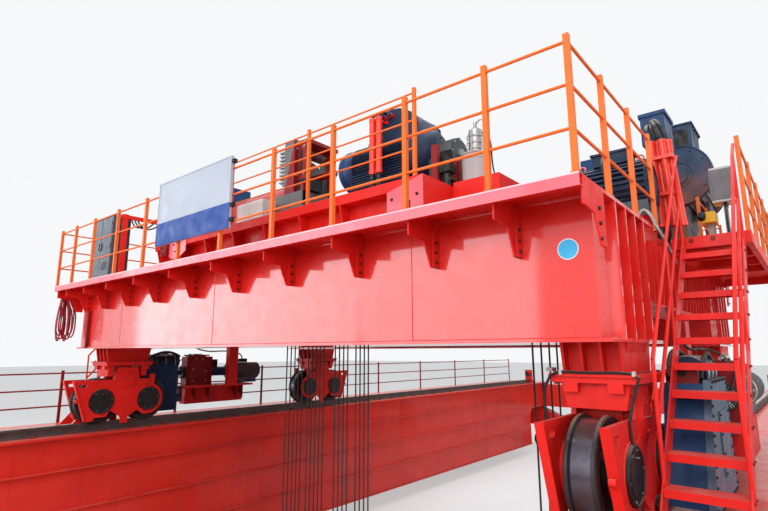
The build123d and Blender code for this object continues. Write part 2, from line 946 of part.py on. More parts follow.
def make_main_drums():
    """The two main hoist drums, side by side, with end flanges and shafts."""
    low, high = drum_ys
    with BuildPart() as drums:
        for side in (-1, 1):
            x = trolley_x + side * drum_x_offset
            barrel("y", (x, (low + high) / 2, drum_axis), drum_radius, high - low)
            for end, outward in ((low, -1), (high, 1)):
                rim = end - outward * drum_flange / 2
                barrel("y", (x, rim, drum_axis), drum_radius + drum_rim, drum_flange)
                shaft = end + outward * drum_shaft_length / 2
                barrel("y", (x, shaft, drum_axis), drum_shaft, drum_shaft_length)
    save(drums.part, "main_drums")


def make_drum_pedestals():
    """Bearing pedestals at both ends of the main drums."""
    low, high = drum_ys
    with BuildPart() as pedestals:
        for side in (-1, 1):
            x = trolley_x + side * drum_x_offset
            for end, outward in ((low, -1), (high, 1)):
                y = end + outward * (pedestal_gap + pedestal_thick / 2)
                with BuildSketch(Plane.XZ.offset(-y)) as section:
                    with BuildLine():
                        Polyline(
                            (x - pedestal_foot, deck_top),
                            (x + pedestal_foot, deck_top),
                            (x + pedestal_head, drum_axis),
                            (x - pedestal_head, drum_axis),
                            close=True,
                        )
                    make_face()
                    with Locations((x, drum_axis)):
                        Circle(pedestal_cap)
                        Circle(drum_shaft + running_gap, mode=Mode.SUBTRACT)
                extrude(section.sketch, amount=pedestal_thick / 2, both=True)
    save(pedestals.part, "drum_pedestals")


def make_front_motor():
    """Front hoist motor: finned body, drum-shaped brake cover, end bell and cable box."""
    low, high = front_motor_ys
    x, z = front_motor_x, front_motor_axis
    with BuildPart() as motor:
        cover_start = high - front_motor_cover
        body_plane = Plane(origin=(x, cover_start, z), z_dir=(0, -1, 0))
        finned_body(body_plane, cover_start - low, front_motor_radius)
        barrel("y", (x, high - front_motor_cover / 2, z), front_motor_radius, front_motor_cover)
        bell = [(0, 0), *front_bell, (0, front_bell[-1][1])]
        with BuildSketch(Plane(origin=(x, low, z), x_dir=(0, 0, 1), z_dir=(1, 0, 0))):
            with BuildLine():
                Polyline(*bell, close=True)
            make_face()
        revolve(axis=Axis((x, low, z), (0, -1, 0)))
        foot = front_motor_radius * 0.8
        slab((x - foot, x + foot), (low, cover_start), (raised_top, z - front_motor_radius / 2))
        with BuildSketch(Plane.XZ.offset(-front_box_ys[1])) as box:
            with Locations((x, sum(front_box_zs) / 2)):
                RectangleRounded(2 * front_box_half, front_box_zs[1] - front_box_zs[0], front_box_corner)
        extrude(box.sketch, amount=front_box_ys[1] - front_box_ys[0])
    save(motor.part, "front_motor")


def make_side_motor():
    """Side hoist motor: finned body and smooth cowl along Y, on a base and plinth."""
    x, z = side_motor_x, side_motor_axis
    near = side_motor_inset - trolley_half_width
    far = near + side_motor_length
    with BuildPart() as motor:
        finned_body(Plane(origin=(x, far, z), z_dir=(0, -1, 0)), side_motor_length, side_motor_radius)
        barrel("y", (x, far + side_cowl_length / 2, z), side_cowl_radius, side_cowl_length)
        xs = (x - side_base_half, x + side_base_half)
        slab(xs, (near, far), (side_plinth_top, side_base_top))
        foot_xs = (xs[0] - plinth_lip, xs[1] + plinth_lip)
        slab(foot_xs, (near + plinth_lip, far + side_cowl_length), (deck_top, side_plinth_top))
    save(motor.part, "side_motor")


def make_rear_motor():
    """Rear hoist motor along X, carried on a pedestal, with its cable box on top."""
    y, z = rear_motor_inset - trolley_half_width, rear_motor_axis
    low, high = rear_motor_x, rear_motor_x + rear_motor_length
    pedestal_low = rear_pedestal_inset - trolley_half_width
    with BuildPart() as motor:
        finned_body(Plane(origin=(low, y, z), z_dir=(1, 0, 0)), rear_motor_length, rear_motor_radius)
        barrel("x", (low + rear_shell_thick / 2, y, z), rear_motor_shell, rear_shell_thick)
        barrel("x", (high - rear_shell_thick / 2, y, z), rear_motor_shell, rear_shell_thick)
        box_ys = (y - rear_box_half, y + rear_box_half)
        slab((low, low + rear_box_length), box_ys, (z + rear_motor_radius - motor_fin_rise, rear_box_top))
        pedestal_xs = (low + rear_shell_thick, high - rear_shell_thick)
        pedestal_ys = (pedestal_low, pedestal_low + rear_pedestal_width)
        slab(pedestal_xs, pedestal_ys, (deck_top, z - rear_motor_radius / 2))
    save(motor.part, "rear_motor")


def make_gearbox(xs, ys, zs, name):
    """Hoist gearbox: a case with a wider joint flange at the level of its shafts."""
    joint = sum(zs) / 2
    with BuildPart() as gearbox:
        slab(xs, ys, zs)
        joint_xs = (xs[0] - gearbox_lip, xs[1] + gearbox_lip)
        joint_ys = (ys[0] - gearbox_lip, ys[1] + gearbox_lip)
        slab(joint_xs, joint_ys, (joint - gearbox_lip_thick, joint + gearbox_lip_thick))
    save(gearbox.part, name)


def make_shaft_guard():
    """Arched guard over the shaft from the front brake to the front gearbox."""
    x = front_motor_x
    high = front_gearbox_ys[0] - gearbox_lip
    with BuildPart() as guard:
        with BuildSketch(Plane.XZ.offset(-high)) as arch:
            with Locations((x, (raised_top + guard_axis) / 2)):
                Rectangle(2 * guard_half, guard_axis - raised_top)
            with Locations((x, guard_axis)):
                Circle(guard_half)
        extrude(arch.sketch, amount=high - guard_start)
    save(guard.part, "shaft_guard")


def fall_places(group):
    """X of each rope column and Y of its two falls."""
    x, y, columns, pitch, row = group
    xs = [x + (i - (columns - 1) / 2) * pitch for i in range(columns)]
    return xs, (y - row, y + row)


def make_ropes():
    """Rope falls between the sheaves of the hook blocks and the upper blocks."""
    with BuildPart() as ropes:
        for group in rope_groups:
            xs, ys = fall_places(group)
            for x in xs:
                for y in ys:
                    rod((x, y, sheave_level), (x, y, upper_block_bottom), rope_radius, sides=6)
    save(ropes.part, "hoist_ropes")


def make_upper_blocks():
    """Fixed sheave blocks that hang in the deck's rope openings."""
    with BuildPart() as blocks:
        for group in rope_groups:
            (x_low, x_high), (y_low, y_high) = slot_limits(group)
            body_xs = (x_low + slot_margin, x_high - slot_margin)
            body_ys = (y_low + slot_margin, y_high - slot_margin)
            slab(body_xs, body_ys, (upper_block_bottom, deck_top))
            seat_xs = (x_low - slot_margin, x_high + slot_margin)
            seat_ys = (y_low - slot_margin / 2, y_high + slot_margin / 2)
            slab(seat_xs, seat_ys, (deck_top, deck_top + beam_plate))
    save(blocks.part, "upper_sheave_blocks")


def add_block(groups, hook_y):
    """Add one moving block: side plates, sheaves on their pins and a crosshead."""
    columns = [fall_places(group)[0] for group in groups]
    low = min(min(xs) for xs in columns) - sheave_thick / 2 - sheave_side_gap
    high = max(max(xs) for xs in columns) + sheave_thick / 2 + sheave_side_gap
    for wall, outward in ((low, -1), (high, 1)):
        with BuildSketch(Plane.YZ.offset(wall)) as side:
            for group in groups:
                with Locations((group[1], sheave_level)):
                    Circle(group[4] + block_lip)
            with Locations((hook_y, crosshead_level)):
                Rectangle(2 * crosshead_half, crosshead_height)
            make_hull()
        extrude(side.sketch, amount=outward * block_side)
    for group, xs in zip(groups, columns):
        for x in xs:
            barrel("x", (x, group[1], sheave_level), group[4] - rope_seat, sheave_thick)
        barrel("x", ((low + high) / 2, group[1], sheave_level), sheave_pin_radius, high - low)
    half = crosshead_half
    zs = (crosshead_level - crosshead_height / 2, crosshead_level + crosshead_height / 2)
    slab((low, high), (hook_y - half, hook_y + half), zs)
    barrel("z", ((low + high) / 2, hook_y, crosshead_level), hook_shank_radius * 2, crosshead_height)


def make_hook_blocks():
    """Moving blocks: the main one with a double hook, the auxiliary with a single one."""
    main_y = (main_far_falls[1] + main_near_falls[1]) / 2
    main_x, aux_x, aux_y = main_far_falls[0], aux_falls[0], aux_falls[1]
    shank_top = crosshead_level
    with BuildPart() as blocks:
        add_block([main_far_falls, main_near_falls], main_y)
        add_block([aux_falls], aux_y)
        with BuildSketch(Plane.YZ.offset(main_x)) as double:
            for side in (-1, 1):
                with Locations((main_y + side * hook_spread, hook_level)):
                    Circle(hook_outer)
            for side in (-1, 1):
                with Locations((main_y + side * hook_spread, hook_level)):
                    Circle(hook_inner, mode=Mode.SUBTRACT)
                mouth_y = main_y + side * (hook_spread + hook_mouth)
                with Locations((mouth_y, hook_level + hook_outer)):
                    Rectangle(2 * hook_mouth, 2 * hook_outer, mode=Mode.SUBTRACT)
            with Locations((main_y, (hook_level + shank_top) / 2)):
                Rectangle(2 * hook_shank_radius, shank_top - hook_level)
        extrude(double.sketch, amount=hook_thick / 2, both=True)
        with BuildSketch(Plane.YZ.offset(aux_x)) as single:
            with Locations((aux_y, hook_level)):
                Circle(hook_outer)
                Circle(hook_inner, mode=Mode.SUBTRACT)
            with Locations((aux_y + hook_shank_radius + single_mouth / 2, hook_level + hook_outer)):
                Rectangle(single_mouth, 2 * hook_outer, mode=Mode.SUBTRACT)
            with Locations((aux_y, (hook_level + hook_inner + shank_top) / 2)):
                Rectangle(2 * hook_shank_radius, shank_top - hook_level - hook_inner)
        extrude(single.sketch, amount=hook_thick / 2, both=True)
    save(blocks.part, "hook_blocks")


def make_ladder(side, name):
    """Steep stair from the girder to the landing: stringers, treads and handrails."""
    y = side * stair_y
    foot_z = girder_top + stair_clear
    slope = (deck_top - foot_z) / (stair_head - stair_foot)
    lean = stringer_depth / 2 * math.hypot(1, slope) / slope
    rise = (deck_top - foot_z) / (stair_treads + 1)
    half = stair_width / 2
    stringer = [
        (stair_foot - lean, foot_z),
        (stair_foot + lean, foot_z),
        (stair_head, deck_top - lean * slope),
        (stair_head, deck_top),
        (stair_head - lean, deck_top),
    ]
    foot_x = stair_foot + handrail_foot
    head_x = stair_head - handrail_foot / 2
    foot_rail = foot_z + handrail_foot * slope + handrail_rise
    head_rail = deck_top - handrail_foot / 2 * slope + handrail_rise
    middle_x, middle_rail = (foot_x + head_x) / 2, (foot_rail + head_rail) / 2
    with BuildPart() as ladder:
        for edge in (-1, 1):
            rail_side = y + edge * (half - stringer_thick / 2)
            plate(Plane.XZ.offset(-rail_side), stringer, stringer_thick)
            posts = ((foot_x, foot_rail), (middle_x, middle_rail), (head_x, head_rail))
            for x, level in posts:
                rod((x, rail_side, level - handrail_rise), (x, rail_side, level), tube_radius)
            for drop in (0, handrail_drop):
                start = (foot_x, rail_side, foot_rail - drop)
                rod(start, (head_x, rail_side, head_rail - drop), tube_radius)
            end = (stair_head + post_width, rail_side, deck_top + handrail_rise)
            rod((head_x, rail_side, head_rail), end, tube_radius)
        for i in range(stair_treads):
            z = foot_z + (i + 1) * rise
            x = stair_foot + (i + 1) * rise / slope
            front, back = x - tread_depth / 2, x + tread_depth / 2
            channel = [
                (front, z),
                (back, z),
                (back, z - tread_thick),
                (back - tread_plate, z - tread_thick),
                (back - tread_plate, z - tread_plate),
                (front + tread_plate, z - tread_plate),
                (front + tread_plate, z - tread_thick),
                (front, z - tread_thick),
            ]
            plate(Plane.XZ.offset(-y), channel, stair_width - 2 * stringer_thick)
    save(ladder.part, name)


def make_landings():
    """Walkways outside the trolley's ends where the stairs arrive, on cross channels."""
    with BuildPart() as landings:
        for side in (-1, 1):
            inner, outer = side * trolley_half_width, side * landing_out
            under = deck_top - landing_channel
            slab((stair_head, landing_end), (inner, outer), (deck_top - platform_plate, deck_top))
            slab((stair_head, stair_head + fascia_depth / 2), (inner, outer), (under, deck_top))
            slab((stair_head, landing_end), (outer, outer - side * fascia_depth / 2), (under, deck_top))
            slab((landing_end - fascia_depth / 2, landing_end), (inner, outer), (under, deck_top))
            for x in landing_beam_xs:
                slab((x, x + landing_beam_width), (side * trolley_end, outer), (under, deck_top))
    save(landings.part, "landings")


def make_travel_drive(side, name):
    """Trolley travel drive beside one bogie: axle gearbox, brake, motor and table."""
    y = side * (rail_y + drive_offset)
    low, high = drive_zs
    front, back = drive_xs
    case = [(front, low), (back, low), (back, high), (front + drive_slope, high), (front, low + drive_toe)]
    lip = drive_flange_lip
    rim = [
        (front - lip, low - lip),
        (back + lip, low - lip),
        (back + lip, high + lip),
        (front + drive_slope - lip / 2, high + lip),
        (front - lip, low + drive_toe),
    ]
    axle_x = trolley_x - beam_offset + wheel_offset
    cap_face = rail_y + plate_inside + plate_thick + cap_thick
    outer = y + side * drive_width / 2
    with BuildPart() as drive:
        plate(Plane.XZ.offset(-y), case, drive_width)
        plate(Plane.XZ.offset(-outer - side * drive_flange / 2), rim, drive_flange)
        hub_length = abs(y) - drive_width / 2 - cap_face
        barrel("y", (axle_x, side * (cap_face + hub_length / 2), axle_level), drive_hub_radius, hub_length)
        cover_x = back + drive_disc_thick - drive_cover_length / 2
        barrel("x", (cover_x, y, high + drive_cover_rise), drive_cover_radius, drive_cover_length)
        shaft_end = back + drive_brake_gap
        barrel("x", ((back + shaft_end) / 2, outer, drive_axis), drive_shaft_radius, drive_brake_gap)
        barrel("x", (shaft_end - drive_disc_thick, outer, drive_axis), drive_disc_radius, drive_disc_thick)
        brake_end = shaft_end + drive_brake_length
        brake_ys = (outer - drive_brake_half, outer + drive_brake_half)
        slab((shaft_end, brake_end), brake_ys, (drive_table_top, drive_brake_top))
        motor_start = brake_end + drive_motor_gap
        motor_end = motor_start + drive_motor_length
        barrel("x", ((brake_end + motor_start) / 2, outer, drive_axis), drive_disc_radius, drive_motor_gap)
        core = drive_motor_radius - drive_fin_rise
        barrel("x", ((motor_start + motor_end) / 2, outer, drive_axis), core, drive_motor_length)
        pitch = drive_motor_length / drive_motor_fins
        for i in range(drive_motor_fins):
            fin_x = motor_start + (i + 0.5) * pitch
            barrel("x", (fin_x, outer, drive_axis), drive_motor_radius, drive_fin_thick)
        table_ys = (side * (trolley_end - torque_arm_width), outer + side * drive_brake_half)
        table_end = motor_end - drive_motor_gap
        slab((back, table_end), table_ys, (drive_table_top - drive_table_thick, drive_table_top))
        box_ys = (outer - drive_brake_half, outer + drive_brake_half)
        slab((shaft_end, table_end), box_ys, (drive_box_foot, drive_table_top - drive_table_thick))
        arm_ys = (side * (trolley_end - torque_arm_width), side * trolley_end)
        arm_xs = (trolley_x - torque_arm_width, trolley_x + torque_arm_width)
        slab(arm_xs, arm_ys, (drive_table_top, sill_bottom))
        foot_zs = (drive_table_top, drive_axis - core / 2)
        slab((motor_start + pitch, motor_end - pitch), (outer - core / 2, outer + core / 2), foot_zs)
    save(drive.part, name)


def make_cabinet():
    """Control cabinet on the far end of the front walkway, on a plinth."""
    low, high = cabinet_ys
    inset = cabinet_plinth_inset
    body = deck_top + cabinet_plinth
    with BuildPart() as cabinet:
        slab(cabinet_xs, cabinet_ys, (body, deck_top + cabinet_height))
        plinth_sides = (cabinet_xs[0] + inset, cabinet_xs[1] - inset)
        slab(plinth_sides, (low + inset, high - inset), (deck_top, body))
    save(cabinet.part, "control_cabinet")


def make_portal():
    """Cable portal frame beside the cabinet, with foot plates."""
    x, (low, high) = portal_x, portal_ys
    top = deck_top + portal_height
    foot = portal_foot
    with BuildPart() as portal:
        for y in (low, high):
            slab((x, x + portal_bar), (y, y + portal_bar), (deck_top, top))
            foot_zs = (deck_top, deck_top + portal_foot_thick)
            slab((x - foot, x + portal_bar + foot), (y - foot, y + portal_bar + foot), foot_zs)
        slab((x, x + portal_bar), (low, high + portal_bar), (top - portal_bar, top))
    save(portal.part, "cable_portal")


def make_control_box():
    """Junction box on the raised beam."""
    with BuildPart() as box:
        slab(control_box_xs, control_box_ys, (raised_top, raised_top + control_box_height))
    save(box.part, "control_box")


def make_grease_pump():
    """Grease pail with a pump on its lid, on the low end of the raised beam."""
    x, y = pail_place
    lid = low_plinth_top + pail_height
    with BuildPart() as pump:
        barrel("z", (x, y, low_plinth_top + pail_height / 2), pail_radius, pail_height)
        barrel("z", (x, y, lid + pump_height / 2), pump_radius, pump_height)
    save(pump.part, "grease_pump")


def make_conduits():
    """Upright cable conduits: a clamped bundle at the stair head and two at the front motor."""
    low, high = conduit_zs
    with BuildPart() as conduits:
        for i, out in enumerate(conduit_outs):
            place = (conduit_xs[i % 2], -trolley_half_width - out, (low + high) / 2)
            barrel("z", place, conduit_radius, high - low)
        post_x = trolley_front - platform_overhang + 3 * side_post_pitch
        clamp_xs = (post_x + post_width / 2, conduit_xs[1] + conduit_radius)
        clamp_ys = (-trolley_half_width, -trolley_half_width + post_width / 2)
        rack_x = sum(conduit_xs) / 2
        rack_xs = (rack_x - conduit_rack / 2, rack_x + conduit_rack / 2)
        rack_ys = (-trolley_half_width - conduit_outs[-1], -trolley_half_width - conduit_outs[0])
        for level in conduit_clamp_zs:
            slab(clamp_xs, clamp_ys, (level, level + conduit_clamp))
            slab(rack_xs, rack_ys, (level, level + conduit_clamp))
        low, high = motor_conduit_zs
        for y in motor_conduit_ys:
            barrel("z", (motor_conduit_x, y, (low + high) / 2), conduit_radius * 1.2, high - low)
    save(conduits.part, "conduits")


def make_landing_devices():
    """Cable box and limit switch on posts at the near landing."""
    x = landing_box_x
    box_y = -trolley_half_width - landing_box_out
    switch_y = -trolley_half_width - switch_out
    half = device_post / 2
    with BuildPart() as devices:
        cable_box = (box_y, landing_box_foot, landing_box_size)
        for y, foot, size in (cable_box, (switch_y, switch_foot, switch_size)):
            slab((x - half, x + half), (y - half, y + half), (deck_top, foot))
            xs, ys = (x - size[0] / 2, x + size[0] / 2), (y - size[1] / 2, y + size[1] / 2)
            slab(xs, ys, (foot, foot + size[2]))
    save(devices.part, "landing_devices")


def make_sign_board():
    """Bare capacity board hung on the outside of the front railing."""
    face = trolley_front - platform_overhang
    with BuildPart() as board:
        slab((face - sign_thick, face), sign_ys, sign_zs)
    save(board.part, "sign_board")


def make_brakes():
    """Hoist brakes: a disc brake each side of the front motor and one at the side motor."""
    x, z = front_motor_x, front_motor_axis
    with BuildPart() as brakes:
        low, high = front_brake_ys
        with BuildSketch(Plane(origin=(x, high, front_brake_axis), z_dir=(0, -1, 0))) as case:
            RegularPolygon(front_brake_radius, 8)
        extrude(case.sketch, amount=high - low)
        half = front_brake_radius / 2
        slab((x - half, x + half), (low, high), (raised_top, front_brake_axis))
        slab(front_release_xs, (low, high), (raised_top, front_brake_axis - half))
        slab((front_release_xs[1], x - half), (low, high), (raised_top, raised_top + half))
        barrel("y", (x, 0, z), caliper_disc_radius, caliper_disc_thick)
        reach = caliper_half_x + caliper_arm
        bed_top = z - caliper_disc_radius
        slab((x - reach, x + reach), (-caliper_half_y, caliper_half_y), (raised_top, bed_top))
        for end in (-1, 1):
            arm_xs = (x + end * caliper_half_x, x + end * reach)
            slab(arm_xs, (-caliper_arm, caliper_arm), (bed_top, caliper_top))
        barrel("x", (x, 0, caliper_top - caliper_spring_radius), caliper_spring_radius, 2 * reach)
        shaft_ys = (front_motor_ys[1], guard_start)
        barrel("y", (x, sum(shaft_ys) / 2, z), drum_shaft / 2, shaft_ys[1] - shaft_ys[0])
        near = side_motor_inset - trolley_half_width + side_motor_length + side_cowl_length
        side_y = near + side_brake_length / 2
        barrel("y", (side_motor_x, side_y, side_motor_axis), side_brake_radius, side_brake_length)
        xs = (side_motor_x - side_brake_radius / 2, side_motor_x + side_brake_radius / 2)
        slab(xs, (near, near + side_brake_length), (deck_top, side_motor_axis))
    save(brakes.part, "hoist_brakes")


def make_aux_hoist():
    """Auxiliary hoist: a rope drum between its side plates."""
    low, high = aux_drum_ys
    x, z = aux_drum_x, aux_drum_axis
    with BuildPart() as hoist:
        barrel("y", (x, (low + high) / 2, z), aux_drum_radius, high - low)
        for end, outward in ((low, -1), (high, 1)):
            outline = [
                (x - aux_side_foot, deck_top),
                (x + aux_side_foot, deck_top),
                (x + aux_side_foot / 2, z + aux_side_foot / 2),
                (x - aux_side_foot / 2, z + aux_side_foot / 2),
            ]
            plate(Plane.XZ.offset(-end - outward * aux_side_thick / 2), outline, aux_side_thick)
    save(hoist.part, "aux_hoist")


make_rails()
make_rail_stops()
make_end_beams()
make_equalisers()
make_runway_bogies()
make_runway_wheels()

for girder_side, girder_word in ((1, "far"), (-1, "near")):
    make_girder(girder_side, f"{girder_word}_girder")
    make_girder_railing(girder_side, f"{girder_word}_girder_railing")
    make_ladder(girder_side, f"{girder_word}_ladder")
    make_travel_drive(girder_side, f"{girder_word}_travel_drive")
    for is_front, place_word in ((True, "front"), (False, "rear")):
        make_bogie(is_front, girder_side, f"{girder_word}_{place_word}_bogie")
        for wheel_step, wheel_word in ((-1, "a"), (1, "b")):
            make_wheel(is_front, wheel_step, girder_side, f"{girder_word}_{place_word}_wheel_{wheel_word}")

for is_front, place_word in ((True, "front"), (False, "rear")):
    make_cross_beam(is_front, f"{place_word}_beam")
    make_platform(is_front, f"{place_word}_platform")
    make_cross_railing(is_front, f"{place_word}_railing")
    make_saddles(is_front, f"{place_word}_saddles")

make_deck()
make_deck_beams()
make_side_railings()
make_raised_beam()
make_inner_railing()
make_landings()
make_main_drums()
make_drum_pedestals()
make_front_motor()
make_side_motor()
make_rear_motor()
make_gearbox(side_gearbox_xs, side_gearbox_ys, (deck_top, side_gearbox_top), "side_gearbox")
make_gearbox(front_gearbox_xs, front_gearbox_ys, (raised_top, front_gearbox_top), "front_gearbox")
make_shaft_guard()
make_brakes()
make_aux_hoist()
make_ropes()
make_upper_blocks()
make_hook_blocks()
make_cabinet()
make_portal()
make_control_box()
make_grease_pump()
make_conduits()
make_landing_devices()
make_sign_board()
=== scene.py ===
"""Looks of the foundry overhead crane: finishes, small parts, light and camera.

Metres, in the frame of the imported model: X along the girders, Y across them, Z up.
The CAD nodes get their finishes, some by the place of each face. Small parts such
as bolts, clips, clamps, cages and seams are meshes made here, and eight nodes are
replaced by meshes with the finer shape that the photograph shows.
"""

import math

import bpy
from mathutils import Matrix, Vector


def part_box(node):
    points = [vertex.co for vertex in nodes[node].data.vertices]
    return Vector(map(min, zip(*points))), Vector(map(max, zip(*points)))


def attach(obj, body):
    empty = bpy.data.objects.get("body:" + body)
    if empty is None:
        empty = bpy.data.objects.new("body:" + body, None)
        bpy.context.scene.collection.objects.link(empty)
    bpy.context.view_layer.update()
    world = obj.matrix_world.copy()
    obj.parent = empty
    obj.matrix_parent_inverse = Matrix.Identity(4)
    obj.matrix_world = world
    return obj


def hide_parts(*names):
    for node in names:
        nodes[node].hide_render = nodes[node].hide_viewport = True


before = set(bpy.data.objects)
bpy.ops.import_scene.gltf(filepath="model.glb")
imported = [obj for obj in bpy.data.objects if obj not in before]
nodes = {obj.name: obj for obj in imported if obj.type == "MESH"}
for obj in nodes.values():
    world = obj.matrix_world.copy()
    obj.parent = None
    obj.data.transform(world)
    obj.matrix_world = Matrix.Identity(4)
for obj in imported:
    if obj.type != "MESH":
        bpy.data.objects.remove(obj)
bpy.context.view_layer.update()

X, Y, Z = Vector((1, 0, 0)), Vector((0, 1, 0)), Vector((0, 0, 1))

# Camera, solved from the photograph's vanishing lines
eye = Vector((-11.2, -6.28, 4.70))
heading = math.radians(50.24)
pitch = math.radians(10.548)
roll = math.radians(0.125)
focal_pixels = 516.14
photo_width = 768

# Colours, as linear red, green and blue
red = (0.66, 0.014, 0.009)
deep_red = (0.22, 0.008, 0.009)
slate = (0.055, 0.075, 0.085)
oil_black = (0.012, 0.012, 0.013)
dust = (0.42, 0.33, 0.27)
rust = (0.19, 0.055, 0.018)

# Places that the small parts are set out from
trolley_x = -3.6
bogie_xs = (-6.3, -0.9)
rail_y = 4.8
axle_z = 3.7653
pin_z = 4.1553
wheel_step = 0.46
bogie_face = 0.265
cap_face = 0.287
web_x = -7.06
beam_z = 4.77
beam_end = 4.99
deck_z = 5.97
raised_z = 6.7
trolley_y = 5.1
platform_x = -7.6
platform_reach = 0.5
plate_z = 5.958
bracket_ys = (-4.38, -3.52, -2.53, -1.4, -0.29, 0.8, 1.9, 2.9, 3.84, 4.66)
post_ys = (0.52, 1.57, 2.565, 3.52, 4.365)
corner_y = 5.07
front_post_x = -7.57
rear_post_x = 0.37
tube_rises = (0.35, 0.7, 1.05)


def both(value):
    return (-value, value)


def put(node, values):
    """Sets values on the named sockets of a node."""
    for socket, value in values.items():
        node.inputs[socket].default_value = value


def shade(colour, factor):
    return tuple(part * factor for part in colour)


class Graph:
    """A node tree with short calls for the nodes used here."""

    def __init__(self, owner):
        owner.use_nodes = True
        self.tree = owner.node_tree

    def add(self, kind, values=None, **settings):
        """A new node: values go to its sockets and settings to the node itself."""
        node = self.tree.nodes.new(kind)
        for key, value in settings.items():
            setattr(node, key, value)
        put(node, values or {})
        return node

    def join(self, source, target):
        self.tree.links.new(source, target)

    def maths(self, operation, first, second):
        """One sum of two values; each is a number or a socket."""
        node = self.add("ShaderNodeMath", operation=operation)
        for socket, value in zip(node.inputs, (first, second)):
            if isinstance(value, (int, float)):
                socket.default_value = value
            else:
                self.join(value, socket)
        return node.outputs["Value"]

    def times(self, value, factor):
        return self.maths("MULTIPLY", value, factor)


class Finish(Graph):
    """A material's node tree, with its shader and the object's own space."""

    def __init__(self, name):
        self.material = bpy.data.materials.new(name)
        super().__init__(self.material)
        self.shader = self.tree.nodes["Principled BSDF"]
        self.place = self.add("ShaderNodeTexCoord").outputs["Object"]

    def stretched(self, stretch, turn=(0, 0, 0)):
        """The object's own space, scaled and turned."""
        mapping = self.add("ShaderNodeMapping", {"Scale": stretch, "Rotation": turn})
        self.join(self.place, mapping.inputs["Vector"])
        return mapping.outputs["Vector"]

    def noise(self, scale, detail=3.0, stretch=(1, 1, 1)):
        """A noise value over the object's own space."""
        noise = self.add("ShaderNodeTexNoise", {"Scale": scale, "Detail": detail})
        self.join(self.stretched(stretch), noise.inputs["Vector"])
        return noise.outputs["Fac"]

    def waves(self, scale, turn, axis="X"):
        """Even bands along one axis of the turned space."""
        wave = self.add("ShaderNodeTexWave", {"Scale": scale}, bands_direction=axis)
        self.join(self.stretched((1, 1, 1), turn), wave.inputs["Vector"])
        return wave.outputs["Fac"]

    def ramp(self, value, low, high, first=0.0, last=1.0):
        """value stretched so that low gives first and high gives last."""
        limits = {"From Min": low, "From Max": high, "To Min": first, "To Max": last}
        node = self.add("ShaderNodeMapRange", limits)
        self.join(value, node.inputs["Value"])
        return node.outputs["Result"]

    def blend(self, base, other, amount):
        """Colour base mixed towards other by amount; each is a colour or a socket."""
        node = self.add("ShaderNodeMix", data_type="RGBA")
        for socket, value in ((node.inputs[6], base), (node.inputs[7], other)):
            if isinstance(value, tuple):
                socket.default_value = (*value, 1)
            else:
                self.join(value, socket)
        self.join(amount, node.inputs[0])
        return node.outputs[2]

    def z_part(self, vector):
        split = self.add("ShaderNodeSeparateXYZ")
        self.join(vector, split.inputs["Vector"])
        return split.outputs["Z"]

    def facing_up(self):
        """1 on faces that look up, 0 on the others."""
        normal = self.add("ShaderNodeNewGeometry").outputs["Normal"]
        return self.ramp(self.z_part(normal), 0.6, 0.95)

    def colour(self, body):
        self.join(body, self.shader.inputs["Base Color"])

    def roughness(self, low, high, scale):
        value = self.ramp(self.noise(scale, 4), 0.3, 0.7, low, high)
        self.join(value, self.shader.inputs["Roughness"])

    def bump(self, height, distance, strength=1.0):
        node = self.add("ShaderNodeBump", {"Distance": distance, "Strength": strength})
        self.join(height, node.inputs["Height"])
        self.join(node.outputs["Normal"], self.shader.inputs["Normal"])


def paint(name, colour, gloss=0.4, dirt=0.35, dusty=0.5, rusty=0.12, shine=0.22, coat=0.0, tread=False):
    """Shop paint: uneven colour, dust on top faces, streaks, small rust spots."""
    finish = Finish(name)
    uneven = finish.ramp(finish.noise(0.9, 4), 0.3, 0.75)
    body = finish.blend(shade(colour, 0.78), colour, uneven)
    streaks = finish.times(finish.ramp(finish.noise(2.2, 6, (3.5, 3.5, 0.25)), 0.55, 0.85), dirt)
    body = finish.blend(body, shade(colour, 0.4), streaks)
    top = finish.times(finish.facing_up(), finish.ramp(finish.noise(3.0, 5), 0.25, 0.75))
    body = finish.blend(body, dust, finish.times(top, dusty))
    spots = finish.times(finish.ramp(finish.noise(14.0, 8), 0.68, 0.78), rusty)
    finish.colour(finish.blend(body, rust, spots))
    finish.roughness(gloss * 0.75, min(gloss * 1.5, 1), 6.0)
    put(finish.shader, {"Specular IOR Level": shine, "Coat Weight": coat})
    put(finish.shader, {"Coat Roughness": 0.07, "Coat IOR": 1.6})
    if tread:
        one, other = (finish.waves(9.0, (0, 0, math.radians(turn))) for turn in (45, -45))
        studs = finish.ramp(finish.times(one, other), 0.55, 0.75)
        finish.bump(finish.times(studs, finish.facing_up()), 0.003)
    else:
        finish.bump(finish.noise(2.4, 3), 0.006, 0.35)
    return finish.material


def bare_metal(name, colour, gloss, shine=0.9, worn=0.5):
    """Machined or cast metal with scratches and oily patches."""
    finish = Finish(name)
    patches = finish.ramp(finish.noise(5.0, 5), 0.35, 0.7)
    body = finish.blend(colour, shade(colour, 0.4), finish.times(patches, worn))
    finish.colour(finish.blend(body, dust, finish.times(finish.facing_up(), 0.35)))
    put(finish.shader, {"Metallic": shine, "Specular IOR Level": 0.3})
    finish.roughness(gloss * 0.7, min(gloss * 1.7, 1), 9.0)
    finish.bump(finish.noise(60.0, 4), 0.0008, 0.5)
    return finish.material


def strand(name, colour, gloss):
    """Wire rope: slanting lays all round."""
    finish = Finish(name)
    lays = finish.waves(14.0, (math.radians(35), math.radians(35), 0), "Z")
    finish.colour(finish.blend(shade(colour, 0.4), colour, lays))
    finish.roughness(gloss * 0.8, gloss * 1.4, 20.0)
    finish.bump(lays, 0.004)
    return finish.material


